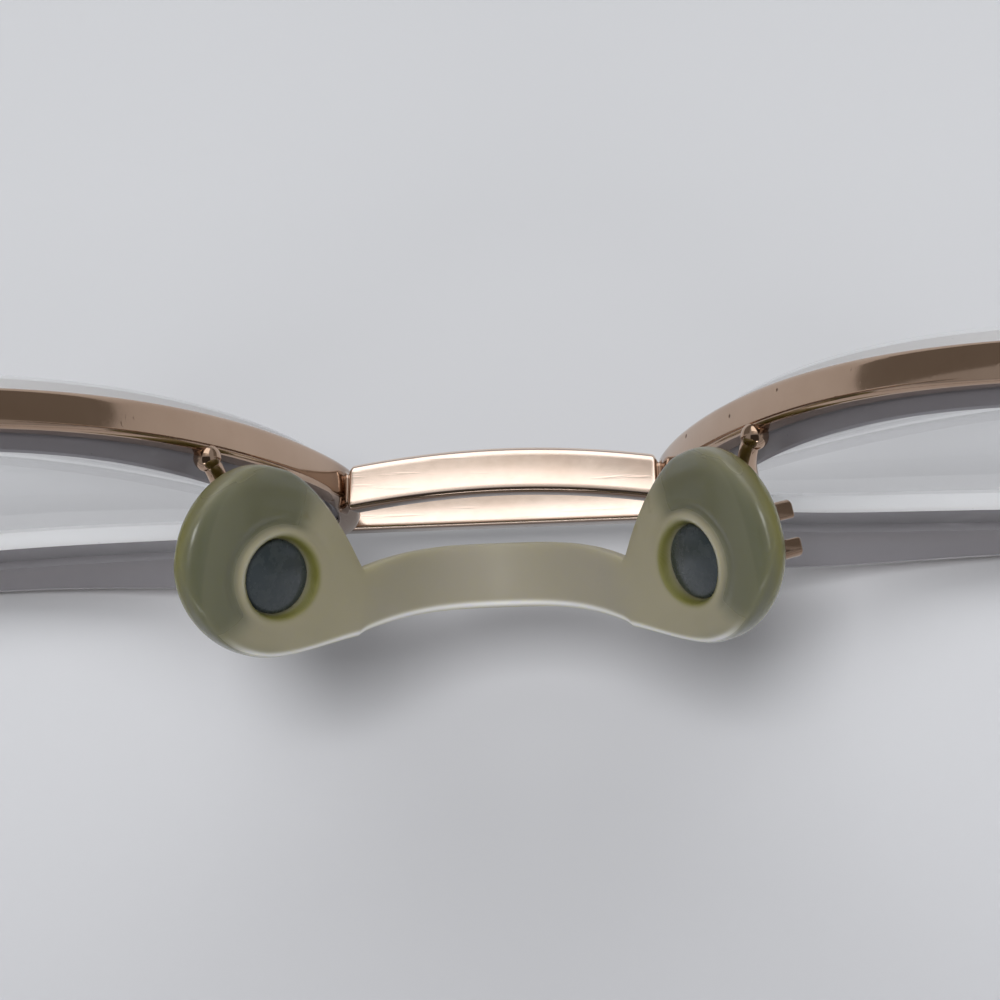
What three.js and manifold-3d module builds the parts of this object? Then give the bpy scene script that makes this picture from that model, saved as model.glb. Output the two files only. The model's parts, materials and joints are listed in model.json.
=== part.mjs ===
// Aviator eyeglasses: full metal rims, a double bridge and a one-piece silicone nose strap.
// Millimetres. The pieces are laid out as worn, X to the wearer's right, Y forward and Z up, and the
// whole is then turned over to lie on its brow and its temples, as such glasses are put down.
import * as THREE from 'three';
import { mergeVertices } from 'three/addons/utils/BufferGeometryUtils.js';
import Module from 'manifold-3d';

const degree = Math.PI / 180;

// Lens box and outline, temporal side positive
const lensWidth = 56;
const lensHeight = 47;
const bridgeGap = 17;
const lensDrop = 5.9;
const browPoint = -0.5;
const templePoint = 9;
const chinPoint = 1.5;
const nosePoint = 7.3;
const browFullness = [0.55, 0.62];
const templeFullness = [0.62, 0.5];
const chinFullness = [0.55, 0.66];
const noseFullness = [0.12, 0.79];

// Lens body
const frontRadius = 95;
const backRadius = 63;
const centreThickness = 2.2;
const bevelSetback = 1.6;
const bevelHeight = 0.75;
const bevelHalfWidth = 0.6;
const lensWrap = 5.5 * degree;
const frontTilt = 9 * degree;

// Eyewire
const rimDepth = 1.82;
const rimWall = 0.5;
const grooveDepth = 0.6;
const grooveHalfWidth = 0.55;
const rimChamfer = 0.2;
const lensClearance = 0.1;
const splitGap = 0.4;

// Solder seams and screw fits
const solderGap = 0.2;
const screwClearance = 0.15;
const screwSlot = 0.4;
const boreEnd = 0.35;

// Bridges
const lowerBridgeDepth = 1.95;
const lowerBridgeHeight = 1.3;
const lowerBridgeBow = 0.75;
const lowerBridgeArch = 0.45;
const lowerBridgeSetback = 0.2;
const lowerBridgeCorner = 0.4;
const browBarDepth = 1.9;
const browBarHeight = 1.5;
const browBarRise = 9;
const browBarSetback = 0.25;
const browBarCorner = 0.3;

// Nose strap: an arch over the nose that ends in two round pads
const saddleAngle = 30 * degree;
const saddleRadius = 9.7;
const saddleCrest = 0.9;
const strapSetback = 4.9;
const strapSweep = 1.65;
const padSweep = 0.5;
const strapWidth = 3.15;
const strapThickness = 1.4;
const padReach = 13.5;
const padLength = 10.8;
const padWidth = 8.9;
const padShift = 0.15;
const padThickness = 3.1;
const flareStart = 7.4;
const padCrown = 0.9;
const padSplay = 14 * degree;

// Pad core with its stem, box, screw and arm
const coreLength = 4.1;
const coreWidth = 3.3;
const coreThickness = 1;
const coreRecess = 0.35;
const coreShift = 0.45;
const coreClearance = 0.2;
const stemRadius = 0.8;
const tabLength = 1.4;
const tabThickness = 0.6;
const tabDepth = 1.7;
const boxLength = 2.5;
const boxWidth = 2.7;
const boxHeight = 2.2;
const boxCorner = 0.3;
const padScrewRadius = 0.4;
const padScrewHeadRadius = 0.75;
const padScrewHeadHeight = 0.45;
const armRadius = 0.45;
const armRootDrop = 0.9;
const armRootReach = 1.2;
const armRootBend = 1.2;
const armTipReach = 1.5;

// Endpiece, closing blocks and rim screw
const endpieceLength = 6;
const endpieceReach = 0.9;
const endpieceHeight = 3.2;
const endpieceRoot = 2.4;
const endpieceTurn = 1.4;
const hingeRise = 11;
const blockHeight = 2;
const blockReach = 2.6;
const blockDepth = 2.4;
const blockCorner = 0.5;
const rimScrewRadius = 0.5;
const rimScrewHeadRadius = 0.95;
const rimScrewHeadHeight = 0.6;

// Hinge
const knuckleRadius = 1;
const knuckleHeight = 1.3;
const knuckleGap = 0.15;
const leafThickness = 0.75;
const leafMargin = 0.4;
const leafGap = 0.15;
const hingeScrewRadius = 0.45;
const hingeScrewHeadRadius = 0.8;
const hingeScrewHeadHeight = 0.5;
const buttGap = 0.15;

// Temple and tip
const templeThickness = 1.5;
const templeHeight = 3.4;
const templeEndHeight = 2.4;
const templeTaper = 10;
const templeCorner = 0.35;
const tipStart = 74;
const socketDepth = 15;
const coreWireSize = 1.3;
const socketClearance = 0.2;
const bendStart = 92;
const bendRadius = 38;
const bendAngle = 40 * degree;
const tipTail = 18;
const tipThickness = 3.4;
const tipMouthHeight = 4.2;
const tipTailHeight = 6.8;

// Facets: stations round the rim, rings along each form and sides round each section
const rimSteps = 72;
const lensRings = [0.4, 0.75];
const roundSides = 16;
const bridgeSteps = 16;
const strapSteps = 11;
const padSteps = 8;
const bendSteps = 6;
const armSteps = 14;
const softSides = 14;
const softCorner = 0.8;
const lastRing = 80 * degree;

// Numerical steps
const weldDistance = 1e-4;
const outlineNudge = 1e-4;
const searchPasses = 40;
const walkSteps = 400;

const wasm = await Module();
wasm.setup();

// A closed geometry from points and triangles, turned so that its faces point out
function closedGeometry(points, triangles) {
  let volume = 0;
  for (const [a, b, c] of triangles) {
    volume += points[a].dot(new THREE.Vector3().crossVectors(points[b], points[c]));
  }
  const index = triangles.flatMap(([a, b, c]) => (volume < 0 ? [a, c, b] : [a, b, c]));
  const geometry = new THREE.BufferGeometry().setFromPoints(points);
  geometry.setIndex(index);
  return geometry;
}

// Skin over equal rings of points, capped at both ends by the triangles of the section
function loft(rings) {
  const size = rings[0].length;
  const last = (rings.length - 1) * size;
  const triangles = [];
  for (let ring = 0; ring < rings.length - 1; ring += 1) {
    for (let side = 0; side < size; side += 1) {
      const a = ring * size + side;
      const b = ring * size + (side + 1) % size;
      triangles.push([a, b, b + size], [a, b + size, a + size]);
    }
  }
  for (const [start, reversed] of [[0, true], [last, false]]) {
    const ring = rings[start / size];
    for (const [a, b, c] of capTriangles(ring)) {
      triangles.push(reversed ? [start + c, start + b, start + a] : [start + a, start + b, start + c]);
    }
  }
  return closedGeometry(rings.flat(), triangles);
}

// Triangles over one flat ring, found in the ring's own plane
function capTriangles(ring) {
  const normal = new THREE.Vector3();
  ring.forEach((point, i) => {
    const next = ring[(i + 1) % ring.length];
    normal.add(new THREE.Vector3().crossVectors(point, next));
  });
  normal.normalize();
  const across = new THREE.Vector3().subVectors(ring[1], ring[0]).normalize();
  const along = new THREE.Vector3().crossVectors(normal, across);
  const flat = ring.map((point) => new THREE.Vector2(point.dot(across), point.dot(along)));
  return THREE.ShapeUtils.triangulateShape(flat, []);
}

function toSolid(geometry) {
  const bare = geometry.clone();
  bare.deleteAttribute('normal');
  bare.deleteAttribute('uv');
  const merged = mergeVertices(bare, weldDistance);
  const vertProperties = new Float32Array(merged.attributes.position.array);
  const triVerts = new Uint32Array(merged.index.array);
  return new wasm.Manifold(new wasm.Mesh({ numProp: 3, vertProperties, triVerts }));
}

function fromSolid(solid) {
  const mesh = solid.getMesh();
  const geometry = new THREE.BufferGeometry();
  geometry.setAttribute('position', new THREE.BufferAttribute(mesh.vertProperties, 3));
  geometry.setIndex(new THREE.BufferAttribute(mesh.triVerts, 1));
  return geometry;
}

function cut(geometry, ...tools) {
  return fromSolid(tools.reduce((rest, tool) => rest.subtract(toSolid(tool)), toSolid(geometry)));
}

function join(geometry, ...others) {
  return fromSolid(others.reduce((rest, other) => rest.add(toSolid(other)), toSolid(geometry)));
}

// Outline of a rectangle with chamfered corners, about the origin
function chamferedRectangle(width, height, corner) {
  const x = width / 2;
  const y = height / 2;
  return [
    [x - corner, -y], [x, -y + corner], [x, y - corner], [x - corner, y],
    [-x + corner, y], [-x, y - corner], [-x, -y + corner], [-x + corner, -y],
  ];
}

// Bar with chamfered edges, from z = 0 up
function chamferedBar(width, depth, height, corner) {
  const corners = chamferedRectangle(width, depth, corner).map(([x, y]) => new THREE.Vector2(x, y));
  const shape = new THREE.Shape(corners);
  return new THREE.ExtrudeGeometry(shape, { depth: height, bevelEnabled: false });
}

// Round bar along Z between two heights
function roundBar(radius, low, high) {
  const bar = new THREE.CylinderGeometry(radius, radius, high - low, roundSides);
  return bar.rotateX(Math.PI / 2).translate(0, 0, (low + high) / 2);
}

// Slotted screw along Z: its head stands below z = 0 and its shank rises to the given height
function slottedScrew(radius, headRadius, headHeight, shank) {
  const slot = new THREE.BoxGeometry(headRadius * 4, screwSlot, headHeight).translate(0, 0, -headHeight);
  const head = roundBar(headRadius, -headHeight, 0);
  return cut(join(head, roundBar(radius, -headHeight / 2, shank)), slot);
}

// Lens outline in the lens plane: four curves between the box's touch points
const outline = new THREE.CurvePath();
{
  const x = lensWidth / 2;
  const y = lensHeight / 2;
  const touch = [
    { at: [browPoint, y], fullness: browFullness, handle: [1, 0] },
    { at: [x, templePoint], fullness: templeFullness, handle: [0, -1] },
    { at: [chinPoint, -y], fullness: chinFullness, handle: [-1, 0] },
    { at: [-x, nosePoint], fullness: noseFullness, handle: [0, 1] },
  ];
  touch.forEach((from, i) => {
    const to = touch[(i + 1) % touch.length];
    const start = new THREE.Vector2(...from.at);
    const end = new THREE.Vector2(...to.at);
    const span = new THREE.Vector2(Math.abs(end.x - start.x), Math.abs(end.y - start.y));
    const lead = new THREE.Vector2(...from.handle).multiply(span).multiplyScalar(from.fullness[1]);
    const trail = new THREE.Vector2(...to.handle).multiply(span).multiplyScalar(to.fullness[0]);
    outline.add(new THREE.CubicBezierCurve(start, start.clone().add(lead), end.clone().sub(trail), end));
  });
}

// Depth of the front curve behind its crown
function sag(radius, point) {
  return radius - Math.sqrt(radius ** 2 - point.lengthSq());
}

// Place on the outline with its outward normal, both in the lens plane
function outlineStation(share) {
  const wrapped = (share + 1) % 1;
  const point = outline.getPoint(wrapped);
  const ahead = outline.getPoint((wrapped + outlineNudge) % 1);
  const behind = outline.getPoint((wrapped - outlineNudge + 1) % 1);
  const run = ahead.sub(behind).normalize();
  return { point, normal: new THREE.Vector2(-run.y, run.x), run };
}

// Share of the outline at which one side of it crosses a height
function outlineShareAt(height, low, high) {
  let from = low;
  let to = high;
  const rising = outlineStation(high).point.y > outlineStation(low).point.y;
  for (let pass = 0; pass < searchPasses; pass += 1) {
    const middle = (from + to) / 2;
    const above = outlineStation(middle).point.y > height;
    [from, to] = above === rising ? [from, middle] : [middle, to];
  }
  return from;
}

// Point of the lens frame: offset out from the outline, and forward from the front curve
function outlinePoint(station, offset, forward) {
  const place = station.point.clone().addScaledVector(station.normal, offset);
  return new THREE.Vector3(place.x, forward - sag(frontRadius, station.point), place.y);
}

// The outline runs from the brow past the temple side to the chin and up the nose side
const curveLengths = outline.getCurveLengths();
const outlineLength = outline.getLength();
const [browToTemple, browToChin, browToNose] = curveLengths.map((length) => length / outlineLength);
const rimOuter = lensClearance + rimWall;
const endpieceRise = hingeRise + endpieceLength * Math.sin(frontTilt);
const splitRise = endpieceRise - endpieceHeight / 2 - solderGap - blockHeight - splitGap / 2;
const splitShare = outlineShareAt(splitRise, browToTemple / 2, browToChin);
const gapShare = splitGap / outlineLength;
const stations = Array.from({ length: rimSteps + 1 }, (_, i) => (
  outlineStation(splitShare + gapShare / 2 + (1 - gapShare) * i / rimSteps)
));

// The lens frame stands so that the rim's nose side lies on the bridge plane
const noseSide = new THREE.Vector2(-lensWidth / 2, lensDrop);
const lensForward = sag(frontRadius, noseSide) * Math.cos(lensWrap) - lensWidth / 2 * Math.sin(lensWrap);
const lensCentre = new THREE.Vector3((bridgeGap + lensWidth) / 2, lensForward, -lensDrop);
const lensFrame = new THREE.Matrix4().makeRotationZ(-lensWrap).setPosition(lensCentre);

// Grooved wire round the lens, open where the closing blocks draw it together
function eyewireGeometry() {
  const inner = lensClearance - grooveDepth;
  const half = rimDepth / 2;
  const section = [
    [inner, half - rimChamfer], [inner + rimChamfer, half],
    [rimOuter - rimChamfer, half], [rimOuter, half - rimChamfer],
    [rimOuter, -half + rimChamfer], [rimOuter - rimChamfer, -half],
    [inner + rimChamfer, -half], [inner, -half + rimChamfer],
    [inner, -grooveHalfWidth], [lensClearance, 0], [inner, grooveHalfWidth],
  ];
  return loft(stations.map((station) => section.map(([out, forward]) => outlinePoint(station, out, forward))));
}

// Meniscus lens: front and back spheres, and an edge with a bevel that seats in the groove
function lensGeometry() {
  const backCrown = bevelSetback - centreThickness;
  const edge = stations.map((station) => station.point.clone().addScaledVector(station.normal, -bevelHeight));
  const onFront = (point) => new THREE.Vector3(point.x, bevelSetback - sag(frontRadius, point), point.y);
  const onBack = (point) => new THREE.Vector3(point.x, backCrown - sag(backRadius, point), point.y);
  const inward = (share) => edge.map((point) => point.clone().multiplyScalar(share));
  const rings = [
    ...lensRings.map((share) => inward(share).map(onFront)),
    edge.map(onFront),
    stations.map((station) => outlinePoint(station, -bevelHeight, bevelHalfWidth)),
    stations.map((station) => outlinePoint(station, 0, 0)),
    stations.map((station) => outlinePoint(station, -bevelHeight, -bevelHalfWidth)),
    edge.map(onBack),
    ...lensRings.toReversed().map((share) => inward(share).map(onBack)),
  ];
  const size = stations.length;
  const frontCrown = rings.length * size;
  const points = [...rings.flat(), new THREE.Vector3(0, bevelSetback, 0), new THREE.Vector3(0, backCrown, 0)];
  const triangles = [];
  for (let side = 0; side < size; side += 1) {
    const next = (side + 1) % size;
    for (let ring = 0; ring < rings.length - 1; ring += 1) {
      const a = ring * size + side;
      const b = ring * size + next;
      triangles.push([a, b, b + size], [a, b + size, a + size]);
    }
    const last = (rings.length - 1) * size;
    triangles.push([frontCrown, next, side], [frontCrown + 1, last + side, last + next]);
  }
  return closedGeometry(points, triangles);
}

// Filled lens shape with its rim and a solder gap, used to trim what meets the rim
function rimPlug(mirror) {
  const reach = lensHeight / 2;
  const shell = stations.map((station) => outlinePoint(station, rimOuter + solderGap, 0));
  const rings = [-reach, reach].map((y) => shell.map((point) => new THREE.Vector3(point.x, y, point.z)));
  const plug = loft(rings).applyMatrix4(lensFrame);
  if (!mirror) {
    return plug;
  }
  const index = plug.index.array;
  for (let i = 0; i < index.length; i += 3) {
    [index[i], index[i + 1]] = [index[i + 1], index[i]];
  }
  return plug.scale(-1, 1, 1);
}

const plugs = [rimPlug(false), rimPlug(true)];

// Lower bridge: a bowed and slightly arched strip whose ends are shaped to the rims
function lowerBridgeGeometry() {
  const reach = bridgeGap / 2 + rimWall;
  const section = chamferedRectangle(lowerBridgeDepth, lowerBridgeHeight, lowerBridgeCorner);
  const rings = [];
  for (let step = 0; step <= bridgeSteps; step += 1) {
    const share = 2 * step / bridgeSteps - 1;
    const rise = 1 - share ** 2;
    const y = lowerBridgeBow * rise - lowerBridgeSetback;
    const z = lowerBridgeArch * rise;
    rings.push(section.map(([dy, dz]) => new THREE.Vector3(reach * share, y + dy, z + dz)));
  }
  return cut(loft(rings), ...plugs);
}

// Brow bar: a straight bar with a flat front face, cut off where the rims curve away
function browBarGeometry() {
  const reach = (bridgeGap + lensWidth) / 2;
  const section = chamferedRectangle(browBarDepth, browBarHeight, browBarCorner);
  const rings = [-reach, reach].map((x) => (
    section.map(([dy, dz]) => new THREE.Vector3(x, dy - browBarSetback, browBarRise + dz))
  ));
  return cut(loft(rings), ...plugs);
}

// Height of the saddle arch: flat over the nose, then straight down its sides
function saddlePoint(x) {
  const fall = Math.hypot(x / Math.tan(saddleAngle), saddleRadius) - saddleRadius;
  return new THREE.Vector3(x, -strapSetback, -saddleCrest - fall);
}

const neckReach = padReach - padLength / 2;

// Frame of the strap at a distance along it from the crest: contact point, run, width and outward axes
function strapFrame(distance) {
  const step = padReach / walkSteps;
  const side = Math.sign(distance) || 1;
  let x = 0;
  let run = new THREE.Vector3(1, 0, 0);
  for (let walked = 0; walked < Math.abs(distance); walked += step) {
    run = saddlePoint(x + step).sub(saddlePoint(x)).normalize();
    x += run.x * step;
  }
  const atNeck = Math.min(1, Math.abs(distance) / neckReach) ** 2;
  const atPad = THREE.MathUtils.smoothstep(Math.abs(distance), neckReach, padReach);
  const back = strapSweep * atNeck + (padSweep - strapSweep) * atPad;
  const origin = saddlePoint(x).add(new THREE.Vector3(0, -back, 0));
  const lean = padSplay * THREE.MathUtils.smoothstep(Math.abs(distance), 0, padReach);
  const plain = new THREE.Vector3(-run.z, 0, run.x);
  const forward = new THREE.Vector3(0, 1, 0);
  const outward = plain.clone().multiplyScalar(Math.cos(lean)).addScaledVector(forward, Math.sin(lean));
  const width = forward.multiplyScalar(Math.cos(lean)).addScaledVector(plain, -Math.sin(lean));
  const mirror = new THREE.Vector3(side, 1, 1);
  [origin, run, outward, width].forEach((vector) => vector.multiply(mirror));
  return { origin, run, width, outward };
}

// Strap section at a distance from its crest: its reach to the front and to the rear, its thickness, and
// the lift of its contact side where the pad rounds off
function strapSize(distance) {
  const fromPad = (Math.abs(distance) - padReach) / (padLength / 2);
  const roundness = Math.sqrt(Math.max(0, 1 - fromPad ** 2));
  const padFront = (padWidth / 2 + padShift) * roundness;
  const padRear = padWidth / 2 - padShift;
  if (fromPad > 0) {
    const lift = padThickness / 2 * (1 - roundness);
    return { front: padFront, rear: padRear * roundness, thickness: padThickness * roundness, lift };
  }
  const neck = strapWidth / 2;
  const flare = THREE.MathUtils.smoothstep(Math.abs(distance), flareStart, padReach);
  const swell = THREE.MathUtils.smoothstep(fromPad, -1, 0);
  return {
    front: (padFront ** 4 + neck ** 4) ** 0.25,
    rear: THREE.MathUtils.lerp(neck, padRear, flare),
    thickness: THREE.MathUtils.lerp(strapThickness, padThickness, swell),
    lift: 0,
  };
}

// Frame of the right pad as a matrix: X down the pad, Y across it, Z out of its back
const rightPad = strapFrame(padReach);
const padFrame = new THREE.Matrix4()
  .makeBasis(rightPad.run, rightPad.width, rightPad.outward)
  .setPosition(rightPad.origin);

function ovalBar(length, width, low, high) {
  const shape = new THREE.Shape().absellipse(0, 0, length / 2, width / 2, 0, 2 * Math.PI);
  const options = { depth: high - low, bevelEnabled: false, curveSegments: roundSides };
  return new THREE.ExtrudeGeometry(shape, options).translate(0, 0, low);
}

// Signed power, which squares off the sides of a round section
function squared(value) {
  return Math.sign(value) * Math.abs(value) ** softCorner;
}

// Silicone strap: the arch swells into two pads, each with a window and a stem hole for its core
function noseStrapGeometry() {
  const distances = [];
  for (let step = 0; step < strapSteps; step += 1) {
    distances.push(padReach * step / strapSteps);
  }
  for (let step = 0; step <= padSteps; step += 1) {
    distances.push(padReach + padLength / 2 * Math.sin(step / padSteps * lastRing));
  }
  const path = [...distances.slice(1).map((distance) => -distance).reverse(), ...distances];
  const rings = path.map((distance) => {
    const { origin, width, outward } = strapFrame(distance);
    const { front, rear, thickness, lift } = strapSize(distance);
    const half = (front + rear) / 2;
    const crown = padCrown * half / (padWidth / 2);
    return Array.from({ length: softSides }, (_, i) => {
      const angle = 2 * Math.PI * i / softSides;
      const across = (front - rear) / 2 + half * squared(Math.cos(angle));
      const rise = Math.sin(angle) > 0 ? thickness - crown : crown;
      const out = lift + crown + rise * squared(Math.sin(angle));
      return origin.clone().addScaledVector(width, across).addScaledVector(outward, out);
    });
  });
  const floor = coreRecess + coreThickness + coreClearance;
  const spare = coreClearance * 2;
  const windowTool = join(
    ovalBar(coreLength + spare, coreWidth + spare, -padCrown, floor).translate(0, -coreShift, 0),
    roundBar(stemRadius + coreClearance, 0, padThickness * 2),
  ).applyMatrix4(padFrame);
  const tools = [toSolid(windowTool), toSolid(windowTool).mirror([1, 0, 0])];
  return fromSolid(tools.reduce((rest, tool) => rest.subtract(tool), toSolid(loft(rings))));
}

// Pad parts are modelled on the pad's own axes, with the screw across the pad
const boxFloor = padThickness + solderGap;
const screwHeight = boxFloor + tabDepth / 2;

function acrossPad(geometry) {
  return geometry.rotateX(-Math.PI / 2).translate(0, 0, screwHeight);
}

// Core: an oval plate on a round stem that is flattened to a tab where it enters the box
function padCoreGeometry() {
  const plate = ovalBar(coreLength, coreWidth, coreRecess, coreRecess + coreThickness);
  plate.translate(0, -coreShift, 0);
  const stem = roundBar(stemRadius, coreRecess + coreThickness / 2, padThickness);
  const tab = new THREE.BoxGeometry(tabLength, tabThickness, tabDepth + padThickness / 2);
  tab.translate(0, 0, boxFloor + (tabDepth - padThickness / 2) / 2);
  const bore = acrossPad(roundBar(padScrewRadius + screwClearance, -boxWidth, boxWidth));
  return cut(join(plate, stem, tab), bore);
}

// Box: two jaws that hold the tab, joined by a web at their upper end
function padBoxGeometry() {
  const block = chamferedBar(boxLength, boxWidth, boxHeight, boxCorner).translate(0, 0, boxFloor);
  const slotLength = boxLength + tabLength / 2 + screwClearance;
  const slot = new THREE.BoxGeometry(slotLength, tabThickness + screwClearance * 2, boxHeight * 2);
  slot.translate(boxLength - slotLength / 2, 0, boxFloor + boxHeight / 2);
  const bore = acrossPad(roundBar(padScrewRadius + screwClearance, -boxWidth, boxWidth / 2 - boreEnd));
  return cut(block, slot, bore);
}

function padScrewGeometry() {
  const shank = boxWidth - boreEnd;
  const screw = slottedScrew(padScrewRadius, padScrewHeadRadius, padScrewHeadHeight, shank);
  return acrossPad(screw.translate(0, 0, -boxWidth / 2 - solderGap));
}

// Pad arm: a wire from the back of the rim that passes behind the pad to the front jaw of its box
function padArmGeometry() {
  const rootRise = rightPad.origin.z + lensDrop - armRootDrop;
  const root = outlineStation(outlineShareAt(rootRise, browToChin, browToNose));
  const rimMiddle = (rimOuter + lensClearance - grooveDepth) / 2;
  const clear = rimDepth / 2 + solderGap + armRadius * root.point.length() / frontRadius;
  const start = outlinePoint(root, rimMiddle, -clear).applyMatrix4(lensFrame);
  const tip = new THREE.Vector3(0, boxWidth / 2 + solderGap, boxFloor + boxHeight / 2).applyMatrix4(padFrame);
  const noseward = new THREE.Vector3(root.normal.x, 0, root.normal.y).transformDirection(lensFrame);
  const lead = start.clone().addScaledVector(noseward, armRootBend);
  lead.y -= armRootReach;
  const trail = tip.clone().addScaledVector(rightPad.width, armTipReach);
  const path = new THREE.CubicBezierCurve3(start, lead, trail, tip);
  const wire = new THREE.Shape().absarc(0, 0, armRadius, 0, 2 * Math.PI);
  const options = { steps: armSteps, curveSegments: roundSides / 2, extrudePath: path };
  return new THREE.ExtrudeGeometry(wire, options);
}

// Hinge axis in the front's frame, set off the rim's temple side
const templeStation = outlineStation(outlineShareAt(endpieceRise, browToTemple / 2, browToChin));
const templeSide = outlinePoint(templeStation, rimOuter, 0).applyMatrix4(lensFrame);
const hingePoint = new THREE.Vector3(
  templeSide.x + endpieceReach,
  templeSide.y - endpieceLength,
  hingeRise - lensDrop,
);
const tiltFront = new THREE.Matrix4().makeRotationX(-frontTilt);
const hingePlace = hingePoint.clone().applyMatrix4(tiltFront);
const hingeToFront = tiltFront.clone().invert().multiply(new THREE.Matrix4().setPosition(hingePlace));
const templeInset = knuckleRadius + leafGap;
const templeMiddle = templeInset + templeThickness / 2;
const leafLength = endpieceLength - blockDepth / 2 - knuckleRadius - knuckleGap - leafMargin;

// Endpiece: a bar that leaves the rim sideways and turns back to the hinge round a quarter bend
function endpieceGeometry() {
  const bend = new THREE.Vector2(templeMiddle - endpieceTurn, endpieceLength - endpieceTurn);
  const stops = [{ middle: new THREE.Vector2(templeMiddle, buttGap), angle: 0 }];
  for (let step = 0; step <= bendSteps; step += 1) {
    const angle = Math.PI / 2 * step / bendSteps;
    const spoke = new THREE.Vector2(Math.cos(angle), Math.sin(angle)).multiplyScalar(endpieceTurn);
    stops.push({ middle: spoke.add(bend), angle });
  }
  stops.push({ middle: new THREE.Vector2(-endpieceReach - endpieceRoot, endpieceLength), angle: Math.PI / 2 });
  const section = chamferedRectangle(templeThickness, endpieceHeight, templeCorner);
  const rings = stops.map(({ middle, angle }) => section.map(([across, up]) => (
    new THREE.Vector3(middle.x + Math.cos(angle) * across, middle.y + Math.sin(angle) * across, up)
  )));
  return cut(loft(rings).applyMatrix4(hingeToFront), plugs[0]);
}

// Closing blocks meet across the split of the eyewire, on the station's own axes
const split = outlineStation(splitShare);
const upward = new THREE.Vector3(-split.run.x, 0, -split.run.y);
const sideways = new THREE.Vector3(split.normal.x, 0, split.normal.y);
const splitFrame = new THREE.Matrix4()
  .makeBasis(sideways, new THREE.Vector3().crossVectors(upward, sideways), upward)
  .setPosition(outlinePoint(split, rimOuter + solderGap + blockReach / 2, 0));

function closingBlockGeometry(low) {
  const block = chamferedBar(blockReach, blockDepth, blockHeight, blockCorner).translate(0, 0, low);
  const boreTop = splitGap / 2 + blockHeight - boreEnd;
  const bore = roundBar(rimScrewRadius + screwClearance, -blockHeight * 2, boreTop);
  return cut(block, bore).applyMatrix4(splitFrame);
}

function rimScrewGeometry() {
  const seat = -splitGap / 2 - blockHeight - solderGap;
  const shank = blockHeight * 2 + splitGap - boreEnd;
  const screw = slottedScrew(rimScrewRadius, rimScrewHeadRadius, rimScrewHeadHeight, shank);
  return screw.translate(0, 0, seat).applyMatrix4(splitFrame);
}

// Hinge leaf on the hinge's axes: a plate along Y with bored knuckles at the given heights
function hingeLeafGeometry(direction, knuckles, plateHeight) {
  const plateMiddle = knuckleRadius - leafThickness / 2;
  const clear = knuckleRadius + knuckleGap;
  const plate = new THREE.BoxGeometry(leafThickness, leafLength, plateHeight);
  plate.translate(plateMiddle, direction * (clear + leafLength / 2), 0);
  const webReach = clear + leafMargin;
  const parts = knuckles.flatMap((height) => {
    const web = new THREE.BoxGeometry(leafThickness, webReach, knuckleHeight);
    web.translate(plateMiddle, direction * webReach / 2, height);
    return [web, roundBar(knuckleRadius, height - knuckleHeight / 2, height + knuckleHeight / 2)];
  });
  const bore = roundBar(hingeScrewRadius + screwClearance, -plateHeight, plateHeight);
  return cut(join(plate, ...parts), bore);
}

const knucklePitch = knuckleHeight + knuckleGap;
const hingeHeight = knucklePitch * 2 + knuckleHeight;

function hingeScrewGeometry() {
  const shank = hingeHeight + solderGap;
  const screw = slottedScrew(hingeScrewRadius, hingeScrewHeadRadius, hingeScrewHeadHeight, shank);
  return screw.rotateX(Math.PI).translate(0, 0, hingeHeight / 2 + solderGap);
}

// Temple on the hinge's axes: a tapering strip, then the core wire inside the tip
function templeGeometry() {
  const strip = (back, height) => chamferedRectangle(templeThickness, height, templeCorner)
    .map(([x, z]) => new THREE.Vector3(templeMiddle + x, -back, z));
  const wire = (back) => chamferedRectangle(coreWireSize, coreWireSize, templeCorner)
    .map(([x, z]) => new THREE.Vector3(templeMiddle + x, -back, z));
  const rings = [
    strip(buttGap, templeHeight),
    strip(templeTaper, templeHeight),
    strip(tipStart, templeEndHeight),
    wire(tipStart),
    wire(tipStart + socketDepth),
  ];
  return loft(rings);
}

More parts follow.
